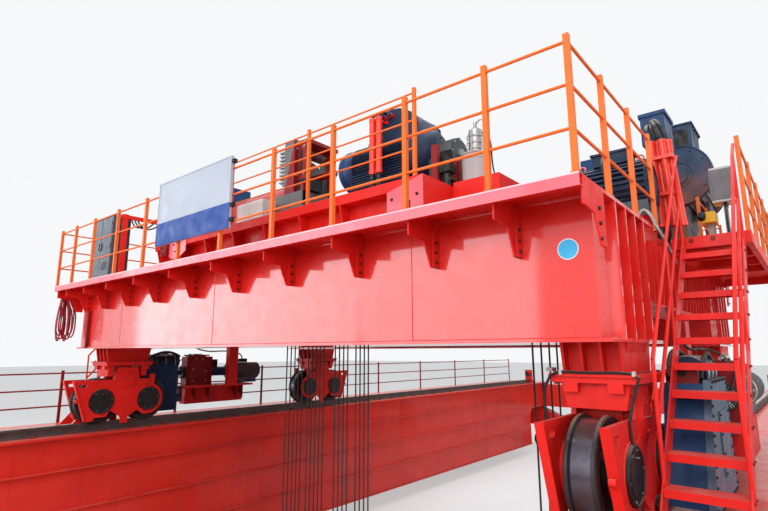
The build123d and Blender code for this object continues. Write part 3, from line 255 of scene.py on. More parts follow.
def rusty_paint(name, colour):
    """Enamel with large rusty patches on the lower part, as on the rear motor."""
    finish = Finish(name)
    low = finish.ramp(finish.z_part(finish.place), 7.75, 7.0)
    patches = finish.times(finish.ramp(finish.noise(3.2, 7), 0.35, 0.6), low)
    uneven = finish.ramp(finish.noise(2.0, 4), 0.3, 0.75)
    body = finish.blend(shade(colour, 0.6), colour, uneven)
    finish.colour(finish.blend(body, rust, patches))
    finish.roughness(0.35, 0.65, 5.0)
    put(finish.shader, {"Specular IOR Level": 0.25})
    finish.bump(finish.noise(30.0, 5), 0.002, 0.6)
    return finish.material


finishes = {
    "red": paint("red_paint", red, dirt=0.3, dusty=0.35, rusty=0.08),
    "mirror": paint("mirror_paint", red, gloss=0.3, dirt=0.12, dusty=0.35, rusty=0.03, shine=0.3, coat=0.9),
    "girder": paint("girder_paint", (0.70, 0.026, 0.014), dirt=0.35, dusty=0.45, shine=0.3, coat=0.25),
    "walk": paint("walkway_paint", red, dirt=0.2, dusty=0.6, rusty=0.1, tread=True),
    "pipe": paint("pipe_paint", (0.80, 0.035, 0.014), gloss=0.3, dirt=0.1, dusty=0.1, rusty=0.04, shine=0.4),
    # Pale pink-white for the deck plate's outer edge: partly worn paint, partly a painted highlight
    "edge": paint("worn_edge_and_highlight_paint", (0.72, 0.50, 0.54), dirt=0.3, dusty=0.1),
    "hank": paint("hank_red", (0.36, 0.016, 0.03), gloss=0.35, dirt=0.1, dusty=0.1, rusty=0.0),
    # Pale lilac-pink: a painted sheen, the reflection of window light on the red paint painted into its
    # colour, for faces toward the windows
    "pink": paint("pink_paint_and_sheen", (0.72, 0.10, 0.135), dirt=0.3, dusty=0.3, rusty=0.08, shine=0.4, coat=0.4),
    "deep_red": paint("deep_red_paint", deep_red),
    "orange": paint("orange_paint", (0.70, 0.135, 0.015), dirt=0.2, dusty=0.2, rusty=0.1),
    "navy": paint("navy_paint", (0.008, 0.020, 0.050), gloss=0.45, dusty=0.4, rusty=0.0),
    "blue": paint("blue_paint", (0.006, 0.040, 0.125), dusty=0.4, rusty=0.1),
    # Paler blue-grey lid: partly its paint, partly a painted sheen of gloss seen at a grazing angle
    "drive_lid": paint("drive_lid_paint", (0.06, 0.115, 0.175), gloss=0.35, dirt=0.2, dusty=0.3),
    "slate": paint("slate_paint", slate, dusty=0.4),
    "grey": paint("grey_paint", (0.13, 0.13, 0.135), dirt=0.5, dusty=0.6),
    "cabinet": paint("cabinet_paint", (0.125, 0.155, 0.19), dirt=0.2, dusty=0.3),
    "pale": paint("pale_paint", (0.72, 0.74, 0.76), dirt=0.15, dusty=0.1, rusty=0.05),
    "clip": paint("clip_paint", (0.42, 0.42, 0.40), dirt=0.3),
    "cream": paint("cream_paint", (0.37, 0.335, 0.33), dirt=0.5, dusty=0.3, rusty=0.1),
    "light_box": paint("light_box_paint", (0.60, 0.58, 0.56), dirt=0.3, dusty=0.2),
    "guard": paint("guard_paint", (0.42, 0.05, 0.055), gloss=0.35, dirt=0.3, dusty=0.4, shine=0.3, coat=0.3),
    "grey_box": paint("grey_box_paint", (0.46, 0.46, 0.45), dirt=0.2, dusty=0.2),
    "yellow": paint("yellow_paint", (0.75, 0.42, 0.02), dirt=0.5),
    "sign_face": paint("sign_face", (0.36, 0.41, 0.48), gloss=0.35, dirt=0.1, dusty=0.0, rusty=0.0),
    "sign_blue": paint("sign_blue", (0.006, 0.050, 0.26), dirt=0.1, dusty=0.0, rusty=0.0),
    "sticker": paint("sticker_blue", (0.05, 0.42, 0.72), dirt=0.05, dusty=0.0, rusty=0.0),
    "rusty_navy": rusty_paint("rusty_navy", (0.010, 0.036, 0.085)),
    "black": bare_metal("oiled_black", oil_black, 0.4, shine=0.0),
    "rubber": bare_metal("rubber", oil_black, 0.55, shine=0.0, worn=0.3),
    "wheel": bare_metal("wheel_iron", (0.020, 0.017, 0.019), 0.3, shine=0.0),
    "tread": bare_metal("wheel_tread", (0.085, 0.078, 0.098), 0.24, shine=0.75),
    "rail": bare_metal("rail_steel", (0.12, 0.11, 0.105), 0.4, shine=0.7),
    "rail_head": bare_metal("rail_head", (0.36, 0.35, 0.34), 0.25, shine=1.0, worn=0.4),
    "bolt": bare_metal("plated_bolt", (0.20, 0.19, 0.18), 0.35, shine=0.8),
    "wire": bare_metal("bright_wire", (0.34, 0.34, 0.335), 0.35, shine=0.8),
    "rope": strand("greased_rope", (0.03, 0.029, 0.028), 0.45),
}

# Nodes that are neither plain red, nor orange railings, nor wheels
dressed = {
    "girder": ("far_girder", "near_girder", "end_beams"),
    "mirror": ("front_beam", "rear_beam"),
    "walk": ("deck", "landings"),
    "rail": ("trolley_rails",),
    "navy": ("front_motor", "side_motor"),
    "rusty_navy": ("rear_motor",),
    "blue": ("side_gearbox", "front_gearbox", "far_travel_drive", "near_travel_drive"),
    "guard": ("shaft_guard",),
    "pipe": ("conduits",),
    "slate": ("hoist_brakes",),
    "rope": ("hoist_ropes",),
    "cabinet": ("control_cabinet",),
    "light_box": ("control_box",),
    "cream": ("grease_pump", "landing_devices"),
    "sign_face": ("sign_board",),
    "deep_red": ("far_girder_railing", "near_girder_railing", "hook_blocks", "main_drums", "aux_hoist"),
}


def dress_nodes():
    """Gives each node its first finish."""
    finish_of = {name: key for key, names in dressed.items() for name in names}
    for name, node in nodes.items():
        usual = "orange" if "railing" in name else "wheel" if "wheel" in name else "red"
        node.data.materials.clear()
        node.data.materials.append(finishes[finish_of.get(name, usual)])


def recolour(made, key, test):
    """Gives the faces whose centre and normal pass the test another finish."""
    mesh = made.data
    mesh.materials.append(finishes[key])
    index = len(mesh.materials) - 1
    for face in mesh.polygons:
        if test(face.center, face.normal):
            face.material_index = index


def smooth(mesh, degrees):
    """Smooth shading, with edges past the angle kept sharp."""
    mesh.polygons.foreach_set("use_smooth", [True] * len(mesh.polygons))
    mesh.set_sharp_from_angle(angle=math.radians(degrees))
    mesh.update()


def arc(start, middle, end, count):
    """Points on a smooth bend from start to end that leans towards middle."""
    start, middle, end = Vector(start), Vector(middle), Vector(end)
    steps = [i / count for i in range(count + 1)]
    return [start.lerp(middle, t).lerp(middle.lerp(end, t), t) for t in steps]


def around(axis, turn):
    """The direction square to an axis at a turn round it."""
    side = axis.orthogonal().normalized()
    return math.cos(turn) * side + math.sin(turn) * axis.cross(side)


class Shape:
    """Points and faces that become one piece, which may replace a node."""

    def __init__(self, name, key, body="trolley", replaced=None):
        self.name = name
        self.key = key
        self.body = body
        self.replaced = replaced
        self.points = []
        self.faces = []

    def take(self, points, faces):
        base = len(self.points)
        self.points += [tuple(p) for p in points]
        self.faces += [tuple(base + i for i in face) for face in faces]

    def box(self, low, high):
        """A block between two corners."""
        (a, b, c), (d, e, f) = low, high
        points = [(x, y, z) for x in (a, d) for y in (b, e) for z in (c, f)]
        faces = [(0, 1, 3, 2), (4, 6, 7, 5), (0, 4, 5, 1), (2, 3, 7, 6), (0, 2, 6, 4), (1, 5, 7, 3)]
        self.take(points, faces)

    def block(self, centre, half):
        """A block round its centre, with half its size each way."""
        centre, half = Vector(centre), Vector(half)
        self.box(centre - half, centre + half)

    def bar(self, start, end, radius, sides=12):
        """A round or many-sided bar between two points, with closed ends."""
        self.sweep([start, end], [radius, radius], sides)

    def rod(self, start, shift, radius, sides=12):
        """A bar that runs from a point by a vector."""
        self.bar(start, Vector(start) + shift, radius, sides)

    def sweep(self, path, radii, sides=8):
        """A closed tube along a path, with a radius at each point."""
        path = [Vector(p) for p in path]
        points = []
        side = None
        for i, point in enumerate(path):
            along = (path[min(i + 1, len(path) - 1)] - path[max(i - 1, 0)]).normalized()
            if side is None:
                side = along.orthogonal().normalized()
            else:
                side = (side - along * side.dot(along)).normalized()
            other = along.cross(side)
            for k in range(sides):
                turn = 2 * math.pi * k / sides
                points.append(point + radii[i] * (math.cos(turn) * side + math.sin(turn) * other))
        last = (len(path) - 1) * sides
        faces = [tuple(reversed(range(sides))), tuple(range(last, last + sides))]
        for i in range(0, last, sides):
            for k in range(sides):
                j = (k + 1) % sides
                faces.append((i + k, i + j, i + sides + j, i + sides + k))
        self.take(points, faces)

    def tube(self, path, radius, sides=8):
        self.sweep(path, [radius] * len(path), sides)

    def bend(self, start, middle, end, radius, count=12, sides=8):
        """A tube along a smooth bend."""
        self.tube(arc(start, middle, end, count), radius, sides)

    def ring(self, centre, axis, radius, thick, sides=24, section=6):
        """A closed hoop round an axis."""
        centre, axis = Vector(centre), Vector(axis).normalized()
        points, faces = [], []
        for i in range(sides):
            out = around(axis, 2 * math.pi * i / sides)
            for k in range(section):
                turn = 2 * math.pi * k / section
                reach, rise = radius + thick * math.cos(turn), thick * math.sin(turn)
                points.append(centre + out * reach + axis * rise)
                here, there = i * section, (i + 1) % sides * section
                j = (k + 1) % section
                faces.append((here + k, here + j, there + j, there + k))
        self.take(points, faces)

    def plate(self, outline, thick):
        """A flat plate: outline points in order, and the vector through its thickness."""
        count = len(outline)
        points = [Vector(p) for p in outline]
        points += [p + Vector(thick) for p in points]
        faces = [tuple(reversed(range(count))), tuple(range(count, 2 * count))]
        for i in range(count):
            j = (i + 1) % count
            faces.append((i, j, count + j, count + i))
        self.take(points, faces)

    def bolt(self, place, along, size):
        """A hexagon head on a washer."""
        place, along = Vector(place), Vector(along).normalized() * size
        self.rod(place, along * 0.25, size * 1.25, 10)
        self.bar(place + along * 0.25, place + along, size * 0.95, 6)

    def bolts(self, start, end, count, along, size):
        """A straight row of bolts."""
        for i in range(count):
            self.bolt(Vector(start).lerp(Vector(end), i / (count - 1)), along, size)

    def bolt_ring(self, centre, axis, radius, count, size, turn=0.0):
        """Bolts in a circle on a round cover."""
        for i in range(count):
            out = around(Vector(axis), turn + 2 * math.pi * i / count)
            self.bolt(Vector(centre) + radius * out, axis, size)

    def make(self):
        """Makes the mesh object, gives it its finish and lets it ride on its body."""
        mesh = bpy.data.meshes.new(self.name)
        mesh.from_pydata(self.points, [], self.faces)
        mesh.materials.append(finishes[self.key])
        made = bpy.data.objects.new(self.name, mesh)
        bpy.context.scene.collection.objects.link(made)
        smooth(mesh, 40)
        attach(made, self.body)
        if self.replaced:
            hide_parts(self.replaced)
        return made


def make(*shapes):
    for shape in shapes:
        shape.make()


def add_camera():
    """Camera at the photograph's place and angle."""
    ahead = Vector((math.sin(heading), math.cos(heading), 0))
    right = Vector((math.cos(heading), -math.sin(heading), 0))
    forward = math.cos(pitch) * ahead + math.sin(pitch) * Z
    down = math.sin(pitch) * ahead - math.cos(pitch) * Z
    side = math.cos(roll) * right + math.sin(roll) * down
    below = -math.sin(roll) * right + math.cos(roll) * down
    camera = bpy.data.cameras.new("camera")
    camera.sensor_width = 36
    camera.lens = camera.sensor_width * focal_pixels / photo_width
    camera.clip_start = 0.1
    camera.clip_end = 300
    holder = bpy.data.objects.new("camera", camera)
    bpy.context.scene.collection.objects.link(holder)
    turn = Matrix((side, -below, -forward)).transposed().to_4x4()
    holder.matrix_world = Matrix.Translation(eye) @ turn
    bpy.context.scene.camera = holder


def add_bracket_bolts():
    """Bolts through the strips that carry the platform brackets, on both beams."""
    bolts = Shape("bracket_bolts", "black")
    for side in both(1):
        for x in (-7.12, -0.08):
            for y in bracket_ys:
                for z in (5.54, 5.635, 5.73):
                    bolts.bolt((x, y + side * 0.022, z), side * Y, 0.013)
        for x in (-7.2, 0.0):
            for z in (5.54, 5.66, 5.78):
                bolts.bolt((x, side * trolley_y, z), side * Y, 0.015)
    bolts.make()


def add_sticker():
    """The plain round sticker on the front web, over its pale rim."""
    rim, disc = Shape("round_sticker_rim", "pale"), Shape("round_sticker", "sticker")
    centre = Vector((web_x, -4.79, 5.52))
    rim.rod(centre, -0.002 * X, 0.088, 40)
    disc.rod(centre - 0.002 * X, -0.001 * X, 0.08, 40)
    make(rim, disc)


def add_beam_welds():
    """Weld beads and plate butt seams of the two cross beams."""
    welds = Shape("beam_welds", "mirror")
    low, high = beam_z + 0.031, 5.938
    for web, out in ((web_x, -1), (-5.54, 1), (-1.66, -1), (-0.14, 1)):
        for y in (-3.2, 0.35, 3.3):
            welds.bar((web + out * 0.001, y, beam_z + 0.03), (web + out * 0.001, y, 5.94), 0.005, 6)
        for z in (low, high):
            welds.bar((web + out * 0.002, -beam_end, z), (web + out * 0.002, beam_end, z), 0.007, 6)
    welds.make()


def add_far_bracket_bar():
    """The upright bar and its foot under the farthest bracket."""
    bar = Shape("far_bracket_bar", "deep_red")
    bar.box((-7.12, 4.62, 4.8), (-7.065, 4.68, 5.49))
    bar.box((-7.14, 4.60, 4.78), (-7.062, 4.70, 4.8))
    bar.make()


def add_cable_hanks():
    """Red cable loops on their peg at the far end of the front platform, tied at the top."""
    hanks, peg = Shape("cable_hanks", "hank"), Shape("cable_hank_peg", "red")
    peg_x, peg_z = -7.38, 5.85
    steps = 24
    for i in range(10):
        y = 5.135 + 0.03 * (i % 4)
        low = 4.92 + 0.035 * ((i * 3) % 5)
        middle = -7.45 + 0.026 * i
        wide = 0.05 + 0.016 * ((i * 7) % 5)
        path = []
        for k in range(steps + 1):
            turn = math.pi * k / steps
            drop = math.sin(turn) ** 0.75
            away = wide * math.cos(turn) * (0.3 + 1.0 * math.sin(turn))
            x = peg_x + (middle - peg_x) * min(1, 2.5 * drop) - away
            path.append((x, y, peg_z - (peg_z - low) * drop))
        hanks.tube(path, 0.0135)
    peg.bar((peg_x, 5.09, 5.86), (peg_x, 5.27, 5.88), 0.022)
    tie = [(-7.44, 5.12, 5.74), (-7.40, 5.26, 5.74), (-7.32, 5.26, 5.73), (-7.31, 5.13, 5.73)]
    hanks.tube(tie + tie[:1], 0.012)
    make(hanks, peg)


def add_platforms():
    """Both end platforms: edge channel, and the short brackets that the photograph shows."""
    rim_thick, lip_width, lip_thick, half = 0.015, 0.06, 0.015, 0.008
    tip, low = deck_z - 0.48, deck_z - 0.102
    platforms = (("front_platform", platform_x + platform_reach, -1), ("rear_platform", -0.1, 1))
    for name, inner, line in platforms:
        shape = Shape(f"{name}_full", "red", replaced=name)
        edge, web, reach = (inner + line * out for out in (platform_reach, -0.04, 0.44))
        outline = [
            (inner, plate_z), (reach, plate_z), (reach, 5.745), (inner + line * 0.2, 5.72),
            (inner + line * 0.09, tip), (web, tip), (web, 5.94), (inner, 5.94),
        ]
        for y in (-trolley_y + half, *bracket_ys, trolley_y - half):
            shape.plate([(x, y - half, z) for x, z in outline], 2 * half * Y)
        strip = (web, web + line * 0.11)
        for y in bracket_ys:
            shape.box((min(strip), y - 0.022, tip), (max(strip), y + 0.022, 5.94))
        rim, lip = edge - line * rim_thick, edge - line * lip_width
        for xs, bottom, top in (
            ((inner, edge), plate_z, deck_z),
            ((rim, edge), low, 5.9579),
            ((rim, lip), low, low + lip_thick),
        ):
            shape.box((min(xs), -trolley_y, bottom), (max(xs), trolley_y, top))
        made = shape.make()

        def on_edge(c, n):
            return line * n.x > 0.9 and line * (c.x - edge) > -0.01

        # Outer face of the edge channel: pink painted sheen of window light
        recolour(made, "pink", lambda c, n: on_edge(c, n) and c.z < 5.95)
        # Outer edge of the deck plate: worn paint and a painted highlight
        recolour(made, "edge", lambda c, n: on_edge(c, n) and c.z > 5.95)


def add_railing_collars():
    """Round couplings where the lower tubes pass the posts."""
    collars = Shape("railing_collars", "orange")
    for x in (front_post_x, rear_post_x):
        for y in sum((both(y) for y in post_ys), ()):
            for rise in tube_rises[:2]:
                collars.rod((x, y - 0.032, deck_z + rise), 0.064 * Y, 0.017)
    collars.make()


def add_run(shape, posts, start=None):
    """Posts with feet and caps, and three tubes from start, or the first post, to the last."""
    for x, y in posts:
        for half, low, high in ((0.022, 0.0, 1.1), (0.022, 1.1, 1.108), (0.03, 0.0, 0.01)):
            shape.box((x - half, y - half, deck_z + low), (x + half, y + half, deck_z + high))
    for rise in tube_rises:
        shape.bar((*(start or posts[0]), deck_z + rise), (*posts[-1], deck_z + rise), 0.0135)


def add_railings():
    """Slim square posts and thin tubes, as in the photograph, on the lines of the CAD railings."""
    front, rear, sides = (
        Shape(f"{name}_slim", "orange", replaced=name)
        for name in ("front_railing", "rear_railing", "side_railings")
    )
    ys = sorted(side * y for side in both(1) for y in (*post_ys, corner_y))
    add_run(front, [(front_post_x, y) for y in ys])
    add_run(rear, [(rear_post_x, y) for y in ys])
    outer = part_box("side_railings")[1][1] - 0.03
    pitch_x, middle_pitch = 0.815, 1.075
    for side in both(1):
        y = side * corner_y
        add_run(sides, [(platform_x + pitch_x * i, y) for i in (1, 2, 3)], (-7.55, y))
        add_run(sides, [(0.4 - pitch_x * i, y) for i in (1, 2, 3)], (0.35, y))
        add_run(sides, [(-4.46 + middle_pitch * i, side * outer) for i in range(5)])
    make(front, rear, sides)


def add_rail_clips():
    """Clips that hold the trolley rails, one pair every 600 mm."""
    clips, bolts = Shape("rail_clips", "deep_red", "bridge"), Shape("rail_clip_bolts", "bolt", "bridge")
    for side in both(1):
        for i in range(-21, 22):
            x = 0.6 * i
            for edge in both(1):
                y = side * rail_y + edge * 0.098
                clips.block((x, y, 3.205), (0.04, 0.035, 0.01))
                clips.block((x, y - edge * 0.02, 3.2255), (0.03, 0.015, 0.0105))
                bolts.bolt((x, y + edge * 0.012, 3.215), Z, 0.014)
    make(clips, bolts)


def add_girder_seams():
    """Butt seams and long weld beads of the girders."""
    seams = Shape("girder_seams", "girder", "bridge")
    for side in both(1):
        for y in (side * 4.619, side * 6.451):
            for x in both(8.4) + both(2.8):
                seams.bar((x, y, 0.5), (x, y, 3.15), 0.005, 6)
            for x, z in ((12.6, 3.153), (12.3, 0.492)):
                seams.bar((-x, y, z), (x, y, z), 0.008, 6)
    seams.make()


def add_saddle_bolts():
    """Flange bolts of the four saddles, heads above and nuts below."""
    bolts = Shape("saddle_bolts", "deep_red")
    for x0 in bogie_xs:
        for y0 in both(rail_y):
            for side in both(1):
                for z, way, end in ((4.515, Z, 0.432), (4.44, -Z, 0.425)):
                    for i in range(9):
                        bolts.bolt((x0 - 0.42 + 0.105 * i, y0 + side * 0.315, z), way, 0.017)
                    for y in (-0.16, 0, 0.16):
                        bolts.bolt((x0 + side * end, y0 + y, z), way, 0.017)
    bolts.make()


def add_bogie_details():
    """Cap rims and screws, pin plates, seams and toe pins of the trolley bogies."""
    black, beads = Shape("axle_cap_rims", "black"), Shape("bogie_beads", "red")
    screws = Shape("bogie_screws", "bolt")
    for x0 in bogie_xs:
        toe = x0 - math.copysign(0.9, trolley_x - x0)
        for y0 in both(rail_y):
            for side in both(1):
                way = side * Y
                for x in (x0 - wheel_step, x0 + wheel_step):
                    cap = Vector((x, y0 + side * cap_face, axle_z))
                    black.ring(cap, way, 0.214, 0.010, 40)
                    black.rod(cap, 0.006 * way, 0.165, 36)
                    screws.bolt_ring(cap, way, 0.19, 6, 0.011, 0.4)
                    screws.rod(cap + 0.13 * Z, 0.035 * way, 0.008, 8)
                    beads.ring((x, y0 + side * bogie_face, axle_z), way, 0.243, 0.009, 44)
                pin = Vector((x0, y0 + side * bogie_face, pin_z))
                beads.ring(pin, way, 0.186, 0.008, 40)
                beads.ring(pin + 0.012 * way, way, 0.146, 0.006, 36)
                beads.bolt_ring(pin + 0.024 * way, way, 0.112, 4, 0.014, 0.78)
                screws.rod(pin + 0.024 * way, 0.023 * way, 0.012, 10)
                for turn in (35, 145, 215, 325):
                    along, up = math.cos(math.radians(turn)) * X, math.sin(math.radians(turn)) * Z
                    beads.bar(pin + 0.2 * (along + up), pin + 0.43 * along + 0.36 * up, 0.006, 6)
            beads.rod((toe, y0 - 0.27, axle_z + 0.02), 0.05 * Y, 0.03)
    make(black, beads, screws)


def add_runway_details():
    """Cap screws of the runway bogies."""
    screws = Shape("runway_cap_screws", "bolt", "bridge")
    for x in both(14.45):
        for y0 in both(5.535):
            for step in both(1.25):
                for out in both(1):
                    for wheel in both(0.52):
                        centre = (x + out * 0.205, y0 + step + wheel, 0.4)
                        screws.bolt_ring(centre, out * X, 0.16, 6, 0.014)
    screws.make()


def add_drive_details(side, word):
    """Lid, screws, cover bands, slotted disc, caliper, hoses and cables of one travel drive."""
    lid, bright = Shape(f"{word}_drive_lid", "drive_lid"), Shape(f"{word}_drive_bright", "wire")
    dark, plates = Shape(f"{word}_drive_dark", "rubber"), Shape(f"{word}_drive_plates", "deep_red")
    hose = Shape(f"{word}_drive_hoses", "rubber")
    out = side * Y
    case_y, lid_y, line_y = 5.5, 5.512, 5.44

    def at(x, y, z):
        return Vector((x, side * y, z))

    case = ((-6.097, 3.403), (-5.765, 4.427), (-4.883, 4.427), (-4.883, 3.403))
    corners = [at(x, case_y, z) for x, z in case]
    for start, end in zip(corners, corners[1:] + corners[:1]):
        count = round((end - start).length / 0.085)
        for k in range(count):
            dark.bolt(start.lerp(end, (k + 0.5) / count), out, 0.012)
    lid.box(at(-5.55, case_y, 3.60), at(-5.05, lid_y, 4.16))
    for x in (-5.52, -5.08):
        dark.bolts(at(x, lid_y, 3.63), at(x, lid_y, 4.13), 4, out, 0.01)
    lid.rod(at(-4.99, 5.3, 3.66), 0.27 * X, 0.09, 24)
    lid.block(at(-4.73, line_y, 3.64), (0.07, 0.01, 0.08))

    # Front face: plain plate and oil sight
    slope = Vector((-0.99, 0, 0.33)).normalized()
    sight = at(-5.905, 5.29, 3.95)
    bright.ring(sight, slope, 0.022, 0.006, 20)
    dark.bar(sight - slope * 0.02, sight + slope * 0.004, 0.018, 16)
    plate = at(-5.80, 5.3, 4.32)
    wide, up = 0.05 * Y, Vector((0.33, 0, 0.99)).normalized() * 0.03
    bright.plate([plate - wide - up, plate + wide - up, plate + wide + up, plate - wide + up], slope * 0.006)

    # Arched shaft cover with three pale bands, and the lug plate before it
    for x in (-5.42, -5.2, -4.98):
        bright.ring(at(x, 5.28, 4.49), X, 0.163, 0.009, 36)
    lug = ((5.13, 4.41), (5.40, 4.41), (5.40, 4.52), (5.36, 4.575), (5.18, 4.575), (5.13, 4.52))
    plates.plate([at(-5.7, y, z) for y, z in lug], 0.03 * X)
    dark.rod(at(-5.702, 5.27, 4.50), 0.004 * X, 0.035, 20)

    # Slotted disc before the brake
    hub = at(-4.63, line_y, 4.23)
    dark.rod(hub - 0.03 * X, 0.04 * X, 0.145, 36)
    for i in range(30):
        turn = 2 * math.pi * i / 30
        spoke = Vector((0, math.cos(turn), math.sin(turn)))
        bright.bar(hub - 0.034 * X + spoke * 0.06, hub - 0.034 * X + spoke * 0.13, 0.0048, 5)
    bright.rod(hub - 0.05 * X, 0.02 * X, 0.045, 24)

    # Caliper: plates, bolt heads, springs and release rod
    outline = ((-4.5, 3.93), (-4.0, 3.93), (-3.97, 4.2), (-4.1, 4.62), (-4.4, 4.66), (-4.53, 4.3))
    heads = ((-4.42, 4.02), (-4.08, 4.02), (-4.08, 4.24), (-4.42, 4.3), (-4.18, 4.53), (-4.36, 4.55))
    for y, face in ((5.315, -1), (5.565, 1)):
        plates.plate([at(x, y, z) for x, z in outline], face * 0.012 * out)
        for x, z in heads:
            bright.bolt(at(x, y + face * 0.012, z), face * out, 0.018)
    plates.rod(at(-4.56, line_y, 4.40), 0.04 * X, 0.07, 24)
    bright.rod(at(-4.6, line_y, 4.62), 0.68 * X, 0.018)
    for i in range(9):
        bright.ring(at(-4.34 + 0.028 * i, line_y, 4.62), X, 0.034, 0.007, 20)
    dark.block(at(-3.79, line_y, 4.425), (0.07, 0.06, 0.095))
    bright.ring(at(-3.39, line_y, 4.23), X, 0.185, 0.012, 36)
    bright.bolt_ring(at(-3.4, line_y, 4.23), -X, 0.16, 8, 0.012)

    # Terminal box of the motor, its cable, and the hoses over the shaft cover
    dark.block(at(-2.99, line_y, 4.485), (0.13, 0.09, 0.045))
    hose.bend(at(-2.99, 5.40, 4.52), at(-3.1, 5.2, 4.75), at(-3.9, 5.12, 4.72), 0.016)
    hose.bend(at(-3.9, 5.12, 4.72), at(-4.6, 5.08, 4.66), at(-5.0, 5.06, 5.16), 0.016)
    hose.bend(at(-4.45, 5.56, 4.6), at(-4.8, 5.6, 4.45), at(-4.74, 5.42, 4.05), 0.011, 10)
    hose.bend(at(-5.72, 5.17, 4.45), at(-5.3, 5.1, 4.86), at(-4.85, 5.18, 4.6), 0.028, 12, 10)
    hose.bend(at(-5.62, 5.40, 4.45), at(-5.3, 5.42, 4.80), at(-4.9, 5.40, 4.6), 0.022, 12, 10)

    # Foot screws and ribs of the motor table
    dark.bolts(at(-4.9, 4.95, 3.93), at(-3.1, 4.95, 3.93), 7, Z, 0.014)
    for x in (-4.75, -4.4, -4.05, -3.3, -3.1):
        plates.plate([at(x, 5.16, 3.89), at(x, 5.5, 3.89), at(x, 5.16, 3.56)], 0.012 * X)
    make(lid, bright, dark, plates, hose)


def add_sill_ribs():
    """Upright ribs on the outer side of the sill beams, with their bolt row."""
    ribs, bolts = Shape("sill_ribs", "red"), Shape("sill_bolts", "deep_red")
    outline = ((5.0, 5.2), (5.035, 5.2), (5.06, 5.84), (5.0, 5.84))
    for side in both(1):
        for i in range(18):
            ribs.plate([(-5.35 + 0.21 * i, side * y, z) for y, z in outline], 0.012 * X)
        bolts.bolts((-5.3, side * 5.0, 5.25), (-1.8, side * 5.0, 5.25), 17, side * Y, 0.012)
    make(ribs, bolts)


def add_stair_bolts():
    """Bolts of the treads through the stairs' strings, and of the strings' heads."""
    bolts = Shape("stair_bolts", "deep_red")
    foot, head = Vector((-6.95, 0, 3.215)), Vector((-4.58, 0, deck_z))
    treads = 11
    for side in both(1):
        for i in range(treads):
            tread = foot.lerp(head, (i + 1) / (treads + 1))
            for string, out in ((5.229, -1), (5.801, 1)):
                for step in (-0.04, 0.06):
                    bolts.bolt((tread.x + step, side * string, tread.z - 0.02), side * out * Y, 0.011)
        bolts.bolts((-4.585, side * 5.3, 5.93), (-4.585, side * 5.72, 5.93), 3, -X, 0.02)
    bolts.make()


def add_conduits():
    """Sleeves and black hoses of the four conduits at the stair, and of the two at the front motor."""
    sleeves, hose = Shape("conduit_sleeves", "pipe", replaced="conduits"), Shape("conduit_hoses", "rubber")
    for i, (x, y) in enumerate(((-4.56, -4.985), (-4.49, -5.04), (-4.56, -5.1), (-4.49, -5.155))):
        foot, head = Vector((x, y - 0.02 - 0.018 * i, 6.13)), Vector((x, y, 7.2))
        sleeves.bar(foot, head, 0.043, 20)
        sleeves.bar(foot, foot.lerp(head, 0.05), 0.047, 20)
        sleeves.bar(foot.lerp(head, 0.96), head, 0.047, 20)
        far_end = (-3.75 + 0.05 * i, -4.92 + 0.05 * i, 7.62 + 0.05 * i)
        hose.bend((x, y, 7.17), (x + 0.1, y + 0.12, 7.62 + 0.03 * i), far_end, 0.026, 14, 10)
        hose.bend((x, y, 6.16), (x - 0.02, y, 6.02), (x + 0.1, y + 0.06, 5.97), 0.026, 8, 10)
    for z in (6.5, 6.95):
        sleeves.box((-4.62, -5.21, z), (-4.43, -4.99, z + 0.04))
    x = -6.05
    for y in (-1.91, -1.79):
        hose.rod((x, y, raised_z), 0.43 * Z, 0.036, 14)
        sleeves.rod((x, y, 7.12), 0.8 * Z, 0.045, 20)
        for z in (7.11, 7.88):
            sleeves.rod((x, y, z), 0.05 * Z, 0.049, 20)
        hose.bend((x, y, 7.9), (x, y, 8.05), (x + 0.15, y - 0.03, 8.02), 0.024, 10, 10)
    make(sleeves, hose)


def add_second_cable_box():
    """The second cable box on its post."""
    box = Shape("second_cable_box", "blue")
    box.box((-3.75, -5.02, 7.48), (-3.25, -4.72, 7.9))
    box.box((-3.77, -5.04, 7.88), (-3.23, -4.70, 7.93))
    box.box((-3.52, -4.9, 6.0), (-3.44, -4.82, 7.5))
    box.make()


def add_grey_hose():
    """Grey hose over the edge of the deck."""
    grey = Shape("grey_hose", "wire")
    grey.bend((-5.3, -4.9, 6.02), (-5.32, -5.0, 6.36), (-5.3, -5.1, 6.0), 0.017)
    grey.bend((-5.3, -5.1, 6.0), (-5.28, -5.2, 5.75), (-5.0, -5.2, 5.62), 0.017)
    grey.make()


